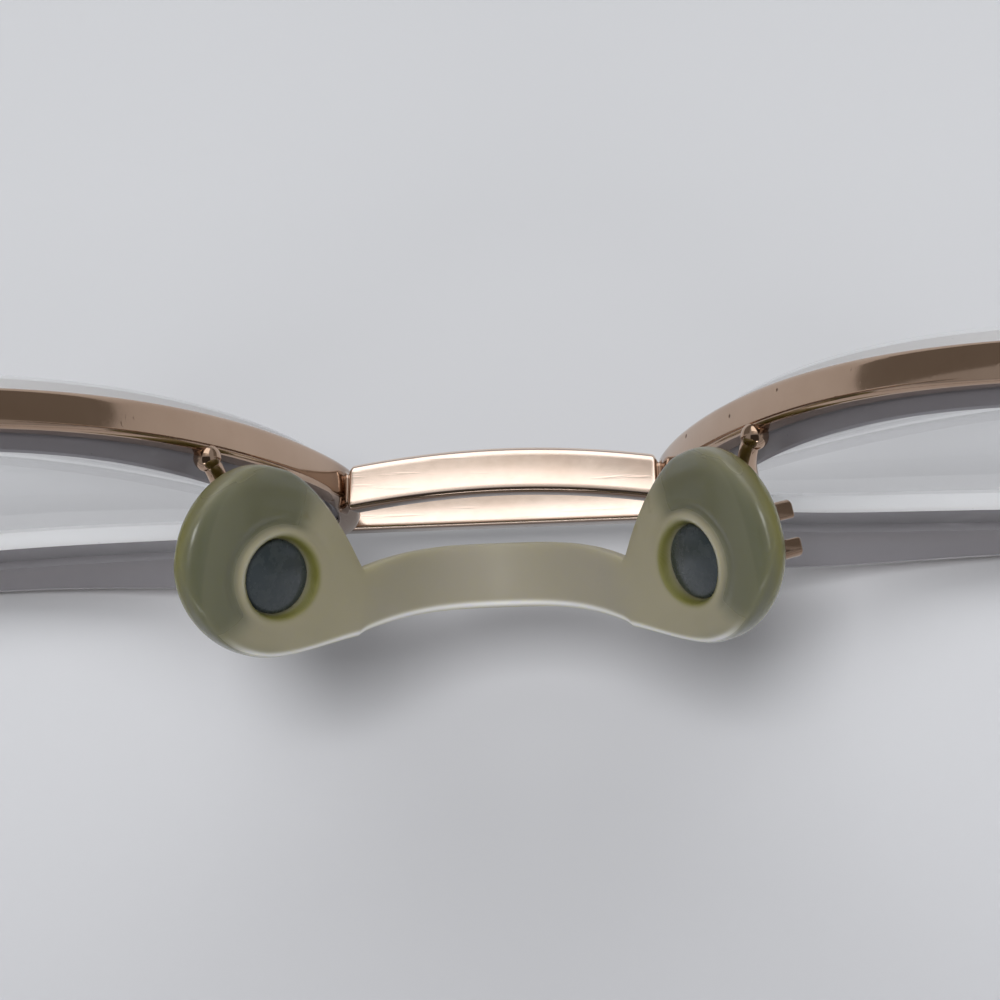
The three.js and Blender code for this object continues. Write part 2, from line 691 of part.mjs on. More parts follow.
// Tip: an oval sleeve that runs straight, bends down behind the ear and widens to a rounded tail
function tipGeometry() {
  const mouth = tipStart + solderGap;
  const bendLength = bendRadius * bendAngle;
  const tailStart = bendStart + bendLength;
  const total = tailStart + tipTail;
  const place = (distance) => {
    const turn = THREE.MathUtils.clamp((distance - bendStart) / bendRadius, 0, bendAngle);
    const tail = Math.max(0, distance - tailStart);
    const straight = Math.min(distance, bendStart);
    const back = straight + bendRadius * Math.sin(turn) + tail * Math.cos(turn);
    const down = bendRadius * (1 - Math.cos(turn)) + tail * Math.sin(turn);
    return { middle: new THREE.Vector3(templeMiddle, -back, -down), turn };
  };
  const distances = [mouth, bendStart];
  for (let step = 1; step <= bendSteps; step += 1) {
    distances.push(bendStart + bendLength * step / bendSteps);
  }
  const nose = tipTailHeight / 2;
  for (let step = 0; step <= bendSteps; step += 1) {
    distances.push(total - nose + nose * Math.sin(step / bendSteps * lastRing));
  }
  const rings = distances.map((distance) => {
    const { middle, turn } = place(distance);
    const widen = THREE.MathUtils.smoothstep(distance, bendStart, total);
    const rounding = Math.sqrt(1 - Math.max(0, (distance - total + nose) / nose) ** 2);
    const halfHeight = THREE.MathUtils.lerp(tipMouthHeight, tipTailHeight, widen) / 2 * rounding;
    const halfWidth = tipThickness / 2 * Math.sqrt(rounding);
    const up = new THREE.Vector3(0, -Math.sin(turn), Math.cos(turn));
    return Array.from({ length: softSides }, (_, i) => {
      const angle = 2 * Math.PI * (i + 0.5) / softSides;
      const across = new THREE.Vector3(halfWidth * Math.cos(angle), 0, 0);
      return middle.clone().add(across).addScaledVector(up, halfHeight * Math.sin(angle));
    });
  });
  const socketSize = coreWireSize + socketClearance * 2;
  const socket = new THREE.BoxGeometry(socketSize, socketDepth + 2 * socketClearance, socketSize);
  socket.translate(templeMiddle, -tipStart - socketDepth / 2, 0);
  return cut(loft(rings), socket);
}

// Finishes
const finishes = {
  gold: { color: 0xcf9f80, roughness: 0.24, metalness: 1 },
  goldScrew: { color: 0xb98a63, roughness: 0.32, metalness: 1 },
  lens: { color: 0xe9eef0, roughness: 0.04, metalness: 0, transparent: true, opacity: 0.35 },
  silicone: { color: 0xb3ad86, roughness: 0.42, metalness: 0, transparent: true, opacity: 0.9 },
  core: { color: 0x39424a, roughness: 0.35, metalness: 0 },
  acetate: { color: 0x4a2c18, roughness: 0.22, metalness: 0 },
};

function piece(name, geometry, finish) {
  const mesh = new THREE.Mesh(geometry, new THREE.MeshStandardMaterial(finishes[finish]));
  mesh.name = name;
  return mesh;
}

// One side of the glasses, modelled on the wearer's right and mirrored for the left
const sideShapes = {
  eyewire: eyewireGeometry(),
  lens: lensGeometry(),
  upperBlock: closingBlockGeometry(splitGap / 2),
  lowerBlock: closingBlockGeometry(-splitGap / 2 - blockHeight),
  rimScrew: rimScrewGeometry(),
  endpiece: endpieceGeometry(),
  padArm: padArmGeometry(),
  padCore: padCoreGeometry(),
  padBox: padBoxGeometry(),
  padScrew: padScrewGeometry(),
  frontLeaf: hingeLeafGeometry(1, [-knucklePitch, knucklePitch], hingeHeight),
  templeLeaf: hingeLeafGeometry(-1, [0], knuckleHeight),
  hingeScrew: hingeScrewGeometry(),
  temple: templeGeometry(),
  tip: tipGeometry(),
};

function buildSide(side, mirrored) {
  const shapes = sideShapes;
  const lensGroup = new THREE.Group();
  lensGroup.position.copy(lensCentre);
  lensGroup.rotation.z = -lensWrap;
  lensGroup.add(
    piece(`${side}_eyewire`, shapes.eyewire, 'gold'),
    piece(`${side}_lens`, shapes.lens, 'lens'),
    piece(`${side}_upper_closing_block`, shapes.upperBlock, 'gold'),
    piece(`${side}_lower_closing_block`, shapes.lowerBlock, 'gold'),
    piece(`${side}_rim_screw`, shapes.rimScrew, 'goldScrew'),
  );
  const padGroup = new THREE.Group();
  padFrame.decompose(padGroup.position, padGroup.quaternion, padGroup.scale);
  padGroup.add(
    piece(`${side}_pad_core`, shapes.padCore, 'core'),
    piece(`${side}_pad_box`, shapes.padBox, 'gold'),
    piece(`${side}_pad_screw`, shapes.padScrew, 'goldScrew'),
  );
  const frontGroup = new THREE.Group();
  frontGroup.rotation.x = -frontTilt;
  frontGroup.add(lensGroup, padGroup);
  frontGroup.add(piece(`${side}_endpiece`, shapes.endpiece, 'gold'));
  frontGroup.add(piece(`${side}_pad_arm`, shapes.padArm, 'gold'));
  const hingeGroup = new THREE.Group();
  hingeGroup.position.copy(hingePlace);
  hingeGroup.add(
    piece(`${side}_front_hinge_leaf`, shapes.frontLeaf, 'gold'),
    piece(`${side}_hinge_screw`, shapes.hingeScrew, 'goldScrew'),
    piece(`${side}_temple_hinge_leaf`, shapes.templeLeaf, 'gold'),
    piece(`${side}_temple`, shapes.temple, 'gold'),
    piece(`${side}_temple_tip`, shapes.tip, 'acetate'),
  );
  const group = new THREE.Group();
  group.scale.x = mirrored ? -1 : 1;
  group.add(frontGroup, hingeGroup);
  return group;
}

const worn = new THREE.Group();
const middleGroup = new THREE.Group();
middleGroup.rotation.x = -frontTilt;
middleGroup.add(
  piece('lower_bridge', lowerBridgeGeometry(), 'gold'),
  piece('brow_bar', browBarGeometry(), 'gold'),
  piece('nose_strap', noseStrapGeometry(), 'silicone'),
);
worn.add(middleGroup, buildSide('right', false), buildSide('left', true));

// Laid down: turned over, tipped back onto the temple bends and lifted to stand on the ground
const browSag = sag(frontRadius, new THREE.Vector2(browPoint, lensHeight / 2));
const browTop = new THREE.Vector3(0, lensForward - browSag, lensHeight / 2 + rimOuter - lensDrop);
browTop.applyMatrix4(tiltFront);
const bendTop = hingePlace.z + tipMouthHeight / 2;
const restTilt = Math.atan2(browTop.z - bendTop, browTop.y - hingePlace.y + bendStart);
worn.rotation.set(restTilt, Math.PI, 0);
const glasses = new THREE.Group();
glasses.add(worn);
const box = new THREE.Box3().setFromObject(glasses, true);
worn.position.set(0, -(box.min.y + box.max.y) / 2, -box.min.z);

export default glasses;
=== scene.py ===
import json
import math
import bpy
import numpy as np
from mathutils import Matrix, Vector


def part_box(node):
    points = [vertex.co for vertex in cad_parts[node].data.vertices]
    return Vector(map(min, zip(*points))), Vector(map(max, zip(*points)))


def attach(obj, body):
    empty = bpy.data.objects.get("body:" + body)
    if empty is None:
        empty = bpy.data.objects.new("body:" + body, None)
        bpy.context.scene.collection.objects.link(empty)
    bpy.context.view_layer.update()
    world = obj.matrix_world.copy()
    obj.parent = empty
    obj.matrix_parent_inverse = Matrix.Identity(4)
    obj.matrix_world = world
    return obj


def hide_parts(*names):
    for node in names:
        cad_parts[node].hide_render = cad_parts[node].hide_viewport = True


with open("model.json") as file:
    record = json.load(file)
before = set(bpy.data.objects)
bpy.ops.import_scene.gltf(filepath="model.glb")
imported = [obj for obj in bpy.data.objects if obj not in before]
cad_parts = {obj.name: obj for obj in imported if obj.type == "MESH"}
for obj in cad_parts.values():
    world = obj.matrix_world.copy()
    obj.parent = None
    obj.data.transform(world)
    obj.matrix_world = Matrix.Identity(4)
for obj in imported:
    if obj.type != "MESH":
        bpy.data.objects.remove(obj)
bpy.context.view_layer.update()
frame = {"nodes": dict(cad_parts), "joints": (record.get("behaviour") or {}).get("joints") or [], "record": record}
print("frame loaded:", len(frame["nodes"]), "nodes")

mm = 0.001
sides = {"right": -1, "left": 1}  # the wearer's right lies at -X
upAxis = np.array([0.0, 0.0, 1.0])


# Axes and places taken from the frame

browBar = {
    "depth": 1.9, "height": 1.5, "rise": 9.0, "bow": 0.0, "arch": 0.0, "setback": 0.25, "edge": 0.26,
    "crown": -0.03, "slant": math.radians(11.8), "valley": 0.0, "line": 0.14,
}

browFace = next(m for m in frame["record"]["mounts"] if m["name"] == "brow_bar_front")
sideways = np.array([1.0, 0.0, 0.0])
forward = np.array(browFace["axis"])
lensward = np.cross(sideways, forward)  # down the lenses as worn, up as they lie here
frontAxes = np.stack([sideways, forward, lensward])
browOffset = np.array([0, browBar["depth"] / 2 - browBar["setback"], -browBar["rise"]])
frontOrigin = np.array(browFace["pos_m"]) / mm - browOffset @ frontAxes


# Points (x, forward, lensward) of the front in millimetres, to millimetres of the row frame
def placeFront(points):
    return frontOrigin + points @ frontAxes


# The same the other way, for a point of the row frame
def toFront(point):
    return frontAxes @ (np.array(point) / mm - frontOrigin)


# Points (out, forward, up) from a hinge's axis, to millimetres of the row frame
def placeHinge(points, side):
    joint = next(j for j in frame["joints"] if j["name"] == f"{side}_temple_fold")
    axis = np.array(joint["axis"])
    up = -axis if axis[2] > 0 else axis  # worn upwards points down here
    axes = np.stack([sideways * sides[side], np.cross(sideways, up), up])
    return np.array(joint["pos_m"]) / mm + points @ axes


# Formulas that several pieces share


# Several values of a dictionary, by their names in one line
def pick(values, names):
    return [values[name] for name in names.split()]


# Vectors at length 1
def unit(vectors):
    return vectors / np.linalg.norm(vectors, axis=-1, keepdims=True)


# Even rise from 0 to 1 between two values, level at both ends: 3s² - 2s³
def smoothStep(low, high, value):
    share = np.clip((value - low) / (high - low), 0, 1)
    return share * share * (3 - 2 * share)


# Bell curve: 1 at its middle, and 1/e at a spread from it
def bell(value, middle, spread):
    return np.exp(-((value - middle) / spread) ** 2)


# Straight change from one value to another by a share
def blend(start, end, share):
    return start + (end - start) * share


# Cubic Bezier curve by its two ends and the two points that draw it
def bezier(start, lead, trail, end, t):
    return start * (1 - t) ** 3 + 3 * lead * t * (1 - t) ** 2 + 3 * trail * t ** 2 * (1 - t) + end * t ** 3


# Distance walked along a path at each of its points
def walkAlong(path):
    return np.concatenate([[0], np.cumsum(np.linalg.norm(np.diff(path, axis=0), axis=1))])


# Even angles round a circle
def circleAngles(count):
    return 2 * np.pi * np.arange(count) / count


# Inset and lift along a rounded edge, from its flat face round to its side
def quarterRound(edge, steps=4):
    angle = np.linspace(0, np.pi / 2, steps + 1)
    return edge * (1 - np.sin(angle)), edge * (1 - np.cos(angle))


# Flat outline with each corner rounded by an arc of its own radius
def roundCorners(corners, radii, steps=5):
    corners = np.asarray(corners, float)
    before = unit(np.roll(corners, 1, axis=0) - corners)
    after = unit(np.roll(corners, -1, axis=0) - corners)
    half = np.arccos(np.clip((before * after).sum(1), -1, 1)) / 2
    radii = np.broadcast_to(np.asarray(radii, float), half.shape)
    reach = (radii / np.tan(half))[:, None]
    centre = corners + unit(before + after) * (radii / np.sin(half))[:, None]
    start = corners + before * reach - centre
    end = corners + after * reach - centre
    arc = blend(start[:, None], end[:, None], np.linspace(0, 1, steps + 1)[None, :, None])
    length = np.linalg.norm(arc, axis=2, keepdims=True)
    arc *= radii[:, None, None] / np.maximum(length, 1e-9)
    return (centre[:, None] + arc).reshape(-1, 2)


# Rectangle about the middle with all four corners rounded alike
def roundedRectangle(width, height, radius, steps=5):
    x, y = width / 2, height / 2
    return roundCorners([(x, -y), (x, y), (-x, y), (-x, -y)], radius, steps)


# Superellipse of two half sizes; a power of 1 is an ellipse, and less squares it off
def ovalSection(halfWidth, halfHeight, count, power=1.0):
    c, s = np.cos(circleAngles(count)), np.sin(circleAngles(count))
    return np.stack([halfWidth * np.sign(c) * np.abs(c) ** power, halfHeight * np.sign(s) * np.abs(s) ** power], -1)


# Mesh building


# Quads of a grid whose columns close on themselves, and its rows too where asked
def gridQuads(rows, cols, wrapRows):
    r, c = np.meshgrid(np.arange(rows if wrapRows else rows - 1), np.arange(cols), indexing="ij")
    r2 = (r + 1) % rows
    c2 = (c + 1) % cols
    return np.stack([r * cols + c, r * cols + c2, r2 * cols + c2, r2 * cols + c], -1).reshape(-1, 4)


# Skin over rings (rows, columns, 3): quads between the rings, and a fan to a middle point at each open end
def ringShell(rings, closed=False):
    rows, cols = rings.shape[:2]
    points = rings.reshape(-1, 3)
    faces = [gridQuads(rows, cols, closed)]
    if not closed:
        points = np.vstack([points, rings[0].mean(axis=0), rings[-1].mean(axis=0)])
        c = np.arange(cols)
        c2 = (c + 1) % cols
        last = (rows - 1) * cols
        faces.append(np.stack([c2, c, np.full(cols, rows * cols)], -1))
        faces.append(np.stack([c + last, c2 + last, np.full(cols, rows * cols + 1)], -1))
    return points, faces


# Rings of points from their three coordinates, each by rows, by columns or by both
def stackRings(x, y, z):
    return np.stack(np.broadcast_arrays(x, y, z), -1)


# Profile of revolution: rows of (radius, height) turned about a line
def turned(profile, count=40):
    profile, angle = np.asarray(profile, float), circleAngles(count)
    return stackRings(profile[:, :1] * np.cos(angle), profile[:, :1] * np.sin(angle), profile[:, 1:])


# Points of a block whose rounded plan is drawn along z between two heights, with rounded top and bottom edges
def roundedBlock(plan, low, high, edge):
    inset, lift = quarterRound(edge)
    middle = plan.mean(axis=0)
    reach = np.linalg.norm(plan - middle, axis=1).max()
    shrink = 1 - np.concatenate([inset, inset[::-1]]) / reach
    height = np.concatenate([low + lift, high - lift[::-1]])
    flat = middle + (plan - middle) * shrink[:, None, None]
    return ringShell(stackRings(flat[..., 0], flat[..., 1], height[:, None]))


# Volume that the faces enclose, by the signed volume of their triangles
def enclosedVolume(points, faces):
    total = 0.0
    for block in faces:
        for k in range(1, block.shape[1] - 1):
            a, b, c = points[block[:, 0]], points[block[:, k]], points[block[:, k + 1]]
            total += np.einsum("ij,ij->i", a, np.cross(b, c)).sum() / 6
    return total


# Object of a mesh, lamp or camera in the scene
def addObject(name, data):
    thing = bpy.data.objects.new(name, data)
    bpy.context.scene.collection.objects.link(thing)
    return thing


# One object from closed shells, each turned to face outwards, riding on a body in place of a node
def makePiece(name, shells, material, node, slot, body="front", sharp=35, zones=None, faceKinds=None):
    points = []
    faces = []
    count = 0
    for shellPoints, shellFaces in shells:
        order = -1 if enclosedVolume(shellPoints, shellFaces) < 0 else 1
        points.append(shellPoints)
        for block in shellFaces:
            faces += (block[:, ::order] + count).tolist()
        count += len(shellPoints)
    mesh = bpy.data.meshes.new(name)
    mesh.from_pydata((np.vstack(points) * mm).tolist(), [], faces)
    mesh.polygons.foreach_set("use_smooth", np.ones(len(faces), bool))
    mesh.set_sharp_from_angle(angle=math.radians(sharp))
    for finish in material if isinstance(material, list) else [material]:
        mesh.materials.append(finish)
    if faceKinds is not None:
        mesh.polygons.foreach_set("material_index", np.asarray(faceKinds, np.int32))
    for zone, values in (zones or {}).items():
        layer = mesh.attributes.new(zone, "FLOAT", "POINT")
        layer.data.foreach_set("value", np.asarray(values, np.float32))
    mesh.update()
    piece = addObject(name, mesh)
    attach(piece, body)
    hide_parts(node)
    return piece


# Piece of one side: its shells put in place, and the side before its name and its node
def sidePiece(side, label, shells, place, finish, node, slot, **settings):
    placed = [(place(points, side), faces) for points, faces in shells]
    return makePiece(f"{side}{label}", placed, finish, f"{side}_{node}", slot, **settings)


# Shader helpers


# Values on a node's inputs: a plain one is set there, and a socket is linked
def setInputs(tree, inputs, values):
    for key, value in values.items():
        if isinstance(value, bpy.types.NodeSocket):
            tree.links.new(value, inputs[key])
        else:
            inputs[key].default_value = value


# Node with its settings and inputs
def addNode(tree, kind, inputs=None, **settings):
    node = tree.nodes.new(kind)
    for key, value in settings.items():
        setattr(node, key, value)
    setInputs(tree, node.inputs, inputs or {})
    return node


# One sum on two numbers or sockets
def addMath(tree, operation, first, second):
    return addNode(tree, "ShaderNodeMath", {0: first, 1: second}, operation=operation).outputs[0]


# Product of two numbers or sockets
def multiply(tree, first, second):
    return addMath(tree, "MULTIPLY", first, second)


# Value spread in a straight line from one range to another
def addRamp(tree, value, low, high, start=0.0, end=1.0):
    inputs = {"Value": value, "From Min": low, "From Max": high, "To Min": start, "To Max": end}
    return addNode(tree, "ShaderNodeMapRange", inputs).outputs["Result"]


# Mix of two tones, each a socket or three plain values
def mixColor(tree, factor, first, second):
    full = [(*tone, 1) if isinstance(tone, tuple) else tone for tone in (first, second)]
    return addNode(tree, "ShaderNodeMix", {"Factor": factor, 6: full[0], 7: full[1]}, data_type="RGBA").outputs[2]


# Surface direction tilted by the slope of a height
def addBump(tree, height, strength, distance):
    inputs = {"Strength": strength, "Distance": distance, "Height": height}
    return addNode(tree, "ShaderNodeBump", inputs).outputs[0]


# Value that the mesh carries at its points
def readZone(tree, name):
    return addNode(tree, "ShaderNodeAttribute", attribute_name=name).outputs["Fac"]


# Place on the object
def objectSpot(tree):
    return addNode(tree, "ShaderNodeTexCoord").outputs["Object"]


# One coordinate of that place
def coordinate(tree, k):
    return addNode(tree, "ShaderNodeSeparateXYZ", {0: objectSpot(tree)}).outputs[k]


# Empty group with float inputs and one float output
def startGroup(name, output, **inputs):
    group = bpy.data.node_groups.new(name, "ShaderNodeTree")
    for socketName, value in inputs.items():
        socket = group.interface.new_socket(socketName, in_out="INPUT", socket_type="NodeSocketFloat")
        socket.default_value = value
    group.interface.new_socket(output, in_out="OUTPUT", socket_type="NodeSocketFloat")
    start = group.nodes.new("NodeGroupInput")
    end = group.nodes.new("NodeGroupOutput")
    return group, start.outputs, end.inputs


# Group in a material's tree with its own values
def useGroup(tree, group, **values):
    return addNode(tree, "ShaderNodeGroup", values, node_tree=group).outputs[0]


# Scattered pits: a small disc in a few of the cells of a Voronoi pattern
def pitGroup():
    group, start, end = startGroup("scatteredPits", "Mask", scale=1500.0, share=0.1, radius=0.2)
    cells = addNode(group, "ShaderNodeTexVoronoi", {"Vector": objectSpot(group), "Scale": start["scale"]})
    level = addNode(group, "ShaderNodeSeparateColor", {"Color": cells.outputs["Color"]}).outputs[0]
    chosen = addMath(group, "LESS_THAN", level, start["share"])
    disc = addMath(group, "DIVIDE", cells.outputs["Distance"], start["radius"])
    soft = addRamp(group, disc, 0.6, 1.0, 1.0, 0.0)
    setInputs(group, end, {"Mask": multiply(group, soft, chosen)})
    return group


# Cloudy patches: layered noise spread by a contrast about its middle
def smudgeGroup():
    group, start, end = startGroup("cloudySmudges", "Mask", scale=300.0, contrast=2.0, level=0.5, detail=5.0)
    inputs = {"Vector": objectSpot(group), "Scale": start["scale"], "Detail": start["detail"], "Roughness": 0.6}
    noise = addNode(group, "ShaderNodeTexNoise", inputs)
    offset = addMath(group, "SUBTRACT", noise.outputs[0], start["level"])
    spread = multiply(group, offset, start["contrast"])
    mask = addNode(group, "ShaderNodeClamp", {"Value": addMath(group, "ADD", spread, 0.5)}).outputs[0]
    setInputs(group, end, {"Mask": mask})
    return group


# Hairline marks: noise drawn out along one way, cut to its thin crests
def hairlineGroup():
    group, start, end = startGroup("hairlines", "Height", scale=900.0, stretch=14.0)
    stretch = addNode(group, "ShaderNodeCombineXYZ", {0: start["stretch"], 1: 1.0, 2: 1.0}).outputs[0]
    drawn = addNode(group, "ShaderNodeVectorMath", {0: objectSpot(group), 1: stretch}, operation="DIVIDE").outputs[0]
    noise = addNode(group, "ShaderNodeTexNoise", {"Vector": drawn, "Scale": start["scale"], "Detail": 3.0})
    setInputs(group, end, {"Height": addRamp(group, noise.outputs[0], 0.62, 0.75)})
    return group


pits = pitGroup()
smudges = smudgeGroup()
hairlines = hairlineGroup()


# Material of one plain tone, with its tree and its shader's inputs
def newMaterial(name, color, roughness, metallic=0.0):
    material = bpy.data.materials.new(name)
    material.use_nodes = True
    tree = material.node_tree
    inputs = tree.nodes["Principled BSDF"].inputs
    setInputs(tree, inputs, {"Base Color": (*color, 1.0), "Roughness": roughness, "Metallic": metallic})
    return material, tree, inputs


# Materials

# The rims and the other parts in this plating get darker, browner tones than the same plating on the bars
rimGold = {"fresh": (0.55, 0.395, 0.29), "aged": (0.42, 0.285, 0.20), "pit": (0.20, 0.12, 0.075)}
barGold = {"fresh": (0.93, 0.77, 0.66), "aged": (0.80, 0.60, 0.47), "pit": (0.45, 0.30, 0.20)}
screwGold = {"fresh": (0.74, 0.50, 0.33), "aged": (0.45, 0.28, 0.16), "pit": (0.05, 0.03, 0.02)}
# Brown tone for solder patina and for painted shade by the bars' joints, along the bars' rear faces and over the pad
# boxes
patinaAndShadeTone = (0.15, 0.085, 0.05)


# Plated metal: fresh and aged tones in patches, dark pits, a brown by the joints that is partly patina and partly
# painted shade, and a polish broken by hairlines
def platedGold(name, tones, polish, pitShare):
    material, tree, inputs = newMaterial(name, tones["fresh"], polish, 1.0)
    patch = useGroup(tree, smudges, scale=260.0, contrast=2.2, level=0.56)
    dots = useGroup(tree, pits, scale=1300.0, share=pitShare, radius=0.17)
    lines = useGroup(tree, hairlines, scale=2600.0, stretch=16.0)
    fine = useGroup(tree, smudges, scale=1900.0, contrast=1.4)
    tone = mixColor(tree, multiply(tree, patch, 0.55), tones["fresh"], tones["aged"])
    tone = mixColor(tree, dots, tone, tones["pit"])
    gloss = addRamp(tree, fine, 0.0, 1.0, polish * 0.8, polish * 1.5)
    relief = addMath(tree, "SUBTRACT", multiply(tree, lines, 0.25), dots)
    setInputs(tree, inputs, {
        "Base Color": mixColor(tree, readZone(tree, "patinaAndShade"), tone, patinaAndShadeTone),
        "Roughness": addMath(tree, "ADD", gloss, multiply(tree, dots, 0.4)),
        "Normal": addBump(tree, relief, 0.25, 0.00003),
    })
    return material


goldFinish = platedGold("rosePlate", rimGold, 0.08, 0.05)
barFinish = platedGold("rosePlateBars", barGold, 0.13, 0.02)
screwFinish = platedGold("screwPlate", screwGold, 0.2, 0.12)

# The ground edge's dark grey tint is a painted shade; the front wall is the same ground glass in its own pale tone
lensGlass = {"tint": (0.985, 0.99, 0.99), "index": 1.02, "coatIndex": 1.45, "edgeShadeTint": (0.17, 0.16, 0.175),
             "wallTint": (0.86, 0.87, 0.89), "edgeRoughness": 0.32}


# Clear lens body, whose strong bend of light would only smear the view along its edge, so the sight goes nearly
# straight through and a clear coat gives the gloss
def clearFinish():
    material, tree, inputs = newMaterial("lensClear", lensGlass["tint"], 0.0)
    shaded = addNode(tree, "ShaderNodeLightPath").outputs["Is Shadow Ray"]
    setInputs(tree, inputs, {
        "Alpha": addMath(tree, "SUBTRACT", 1.0, shaded),  # clear glass lets the light through
        "Transmission Weight": 1.0, "IOR": lensGlass["index"],
        "Coat Weight": 0.6, "Coat Roughness": 0.02, "Coat IOR": lensGlass["coatIndex"],
    })
    return material


# Ground glass: a rough grey that passes some light, with paler streaks along it
def groundFinish(name, tint):
    rough = lensGlass["edgeRoughness"]
    material, tree, inputs = newMaterial(name, tint, rough)
    grain = useGroup(tree, smudges, scale=4200.0, contrast=1.6)
    streak = useGroup(tree, hairlines, scale=500.0, stretch=9.0)
    pale = tuple(0.6 * level + 0.25 for level in tint)
    setInputs(tree, inputs, {
        "Transmission Weight": 0.3, "IOR": 1.5,
        "Base Color": mixColor(tree, multiply(tree, streak, 0.4), tint, pale),
        "Roughness": addRamp(tree, grain, 0.0, 1.0, rough * 0.8, rough * 1.2),
    })
    return material


shadedGroundEdge = groundFinish("lensGroundEdgeShade", lensGlass["edgeShadeTint"])
lensParts = [clearFinish(), shadedGroundEdge, groundFinish("lensFrontWall", lensGlass["wallTint"])]

# The dome and ring tones are painted shade, the edge tone a painted glow of light through the silicone, the pale
# tone a painted highlight
silicone = {
    "strap": (0.44, 0.405, 0.33), "face": (0.46, 0.42, 0.305), "domeShade": (0.155, 0.16, 0.10),
    "edge": (0.24, 0.225, 0.06), "ring": (0.16, 0.155, 0.03), "pale": (0.95, 0.94, 0.90),
    "grime": (0.17, 0.13, 0.045), "roughness": (0.42, 0.52), "domePolish": 0.28,
}


# Aged silicone: grey-beige faces, with grime in spots; painted shade in darker green where the pads round off and in
# dark yellow round the windows; a painted yellow glow at their outer edges; painted highlights on the rear edge and
# windows
def siliconeFinish():
    material, tree, inputs = newMaterial("agedSilicone", silicone["strap"], 0.3)
    cloud = useGroup(tree, smudges, scale=420.0, contrast=1.1, detail=1.5)
    haze = useGroup(tree, smudges, scale=150.0, contrast=1.6, detail=1.5)
    spots = useGroup(tree, smudges, scale=1100.0, contrast=3.0, level=0.72, detail=2.5)
    fine = useGroup(tree, smudges, scale=900.0, contrast=1.0, detail=1.0)
    # The dome, edge, ring and pale zones carry painted shade, a painted glow and painted highlights; haze and cloud
    # vary the tone at random, and spots lay grime
    layers = (
        (readZone(tree, "padFace"), "face"), (multiply(tree, haze, 0.22), "edge"),
        (readZone(tree, "padDomeShade"), "domeShade"), (readZone(tree, "padEdgeGlow"), "edge"),
        (multiply(tree, cloud, 0.12), "domeShade"), (readZone(tree, "windowRingShade"), "ring"),
        (multiply(tree, spots, readZone(tree, "grimeZone")), "grime"),
        (readZone(tree, "paintedHighlight"), "pale"),
    )
    tone = silicone["strap"]
    for share, layer in layers:
        tone = mixColor(tree, share, tone, silicone[layer])
    gloss = addRamp(tree, cloud, 0.0, 1.0, *silicone["roughness"])
    polish = multiply(tree, readZone(tree, "padDomeShade"), silicone["domePolish"])
    setInputs(tree, inputs, {
        "Base Color": tone, "Roughness": addMath(tree, "SUBTRACT", gloss, polish),
        "IOR": 1.45, "Transmission Weight": 0.2, "Subsurface Weight": 0.9,
        "Subsurface Radius": (1.0, 0.95, 0.5), "Subsurface Scale": 0.0013,
        "Normal": addBump(tree, fine, 0.03, 0.0001),
    })
    return material


# Dark plastic of the pad cores, a little dusty
def coreFinish():
    plain = (0.030, 0.040, 0.045)
    material, tree, inputs = newMaterial("corePlastic", plain, 0.3)
    dust = useGroup(tree, smudges, scale=1700.0, contrast=3.0, level=0.62)
    tone = mixColor(tree, multiply(tree, dust, 0.25), plain, (0.10, 0.11, 0.10))
    setInputs(tree, inputs, {"Base Color": tone, "Roughness": addRamp(tree, dust, 0.0, 1.0, 0.22, 0.5)})
    return material


# Polished acetate with warm mottling under a clear gloss
def acetateFinish():
    material, tree, inputs = newMaterial("brownAcetate", (0.075, 0.032, 0.015), 0.16)
    mottle = useGroup(tree, smudges, scale=130.0, contrast=3.2)
    fleck = useGroup(tree, smudges, scale=420.0, contrast=4.0, level=0.62)
    tone = mixColor(tree, mottle, (0.045, 0.018, 0.009), (0.17, 0.075, 0.028))
    tone = mixColor(tree, multiply(tree, fleck, 0.5), tone, (0.25, 0.12, 0.045))
    setInputs(tree, inputs, {"Base Color": tone, "Roughness": addRamp(tree, fleck, 0.0, 1.0, 0.12, 0.22),
                             "Coat Weight": 0.4, "Coat Roughness": 0.08})
    return material


strapFinish = siliconeFinish()
darkCore = coreFinish()
tipFinish = acetateFinish()
print("materials made")


# Lens outline and rims

lensShape = {
    "width": 56.0, "height": 47.0, "gap": 17.0, "drop": 5.9, "wrap": math.radians(5.5),
    "brow": -0.5, "temple": 9.0, "chin": 1.5, "nose": 7.3,
    "browFullness": (0.55, 0.62), "templeFullness": (0.62, 0.5),
    "chinFullness": (0.55, 0.66), "noseFullness": (0.12, 0.79),
    "frontRadius": 95.0, "backRadius": 63.0, "thickness": 2.2,
    "bevelSetback": 1.6, "bevelHeight": 0.75, "bevelHalf": 0.6, "safetyBevel": 0.14,
    "curveSteps": 600, "rings": 26,
}
# The stain strength and its spreads give patina and painted shade round the bars' joints on the rims
eyewire = {
    "depth": 1.82, "wall": 0.5, "groove": 0.6, "grooveHalf": 0.55, "clearance": 0.1,
    "splitGap": 0.4, "outerEdge": 0.2, "innerEdge": 0.14, "lipEdge": 0.05, "grooveEdge": 0.08, "crown": 0.07,
    "jointStainAndShade": 0.85, "bridgeStainAndShade": 1.3, "browStainAndShade": 2.4, "stainAndShadeAhead": -0.2,
    "stations": 420, "noseSpan": 18.0, "noseAhead": -4.5,
}
rimOuter = eyewire["clearance"] + eyewire["wall"]
rimInner = eyewire["clearance"] - eyewire["groove"]


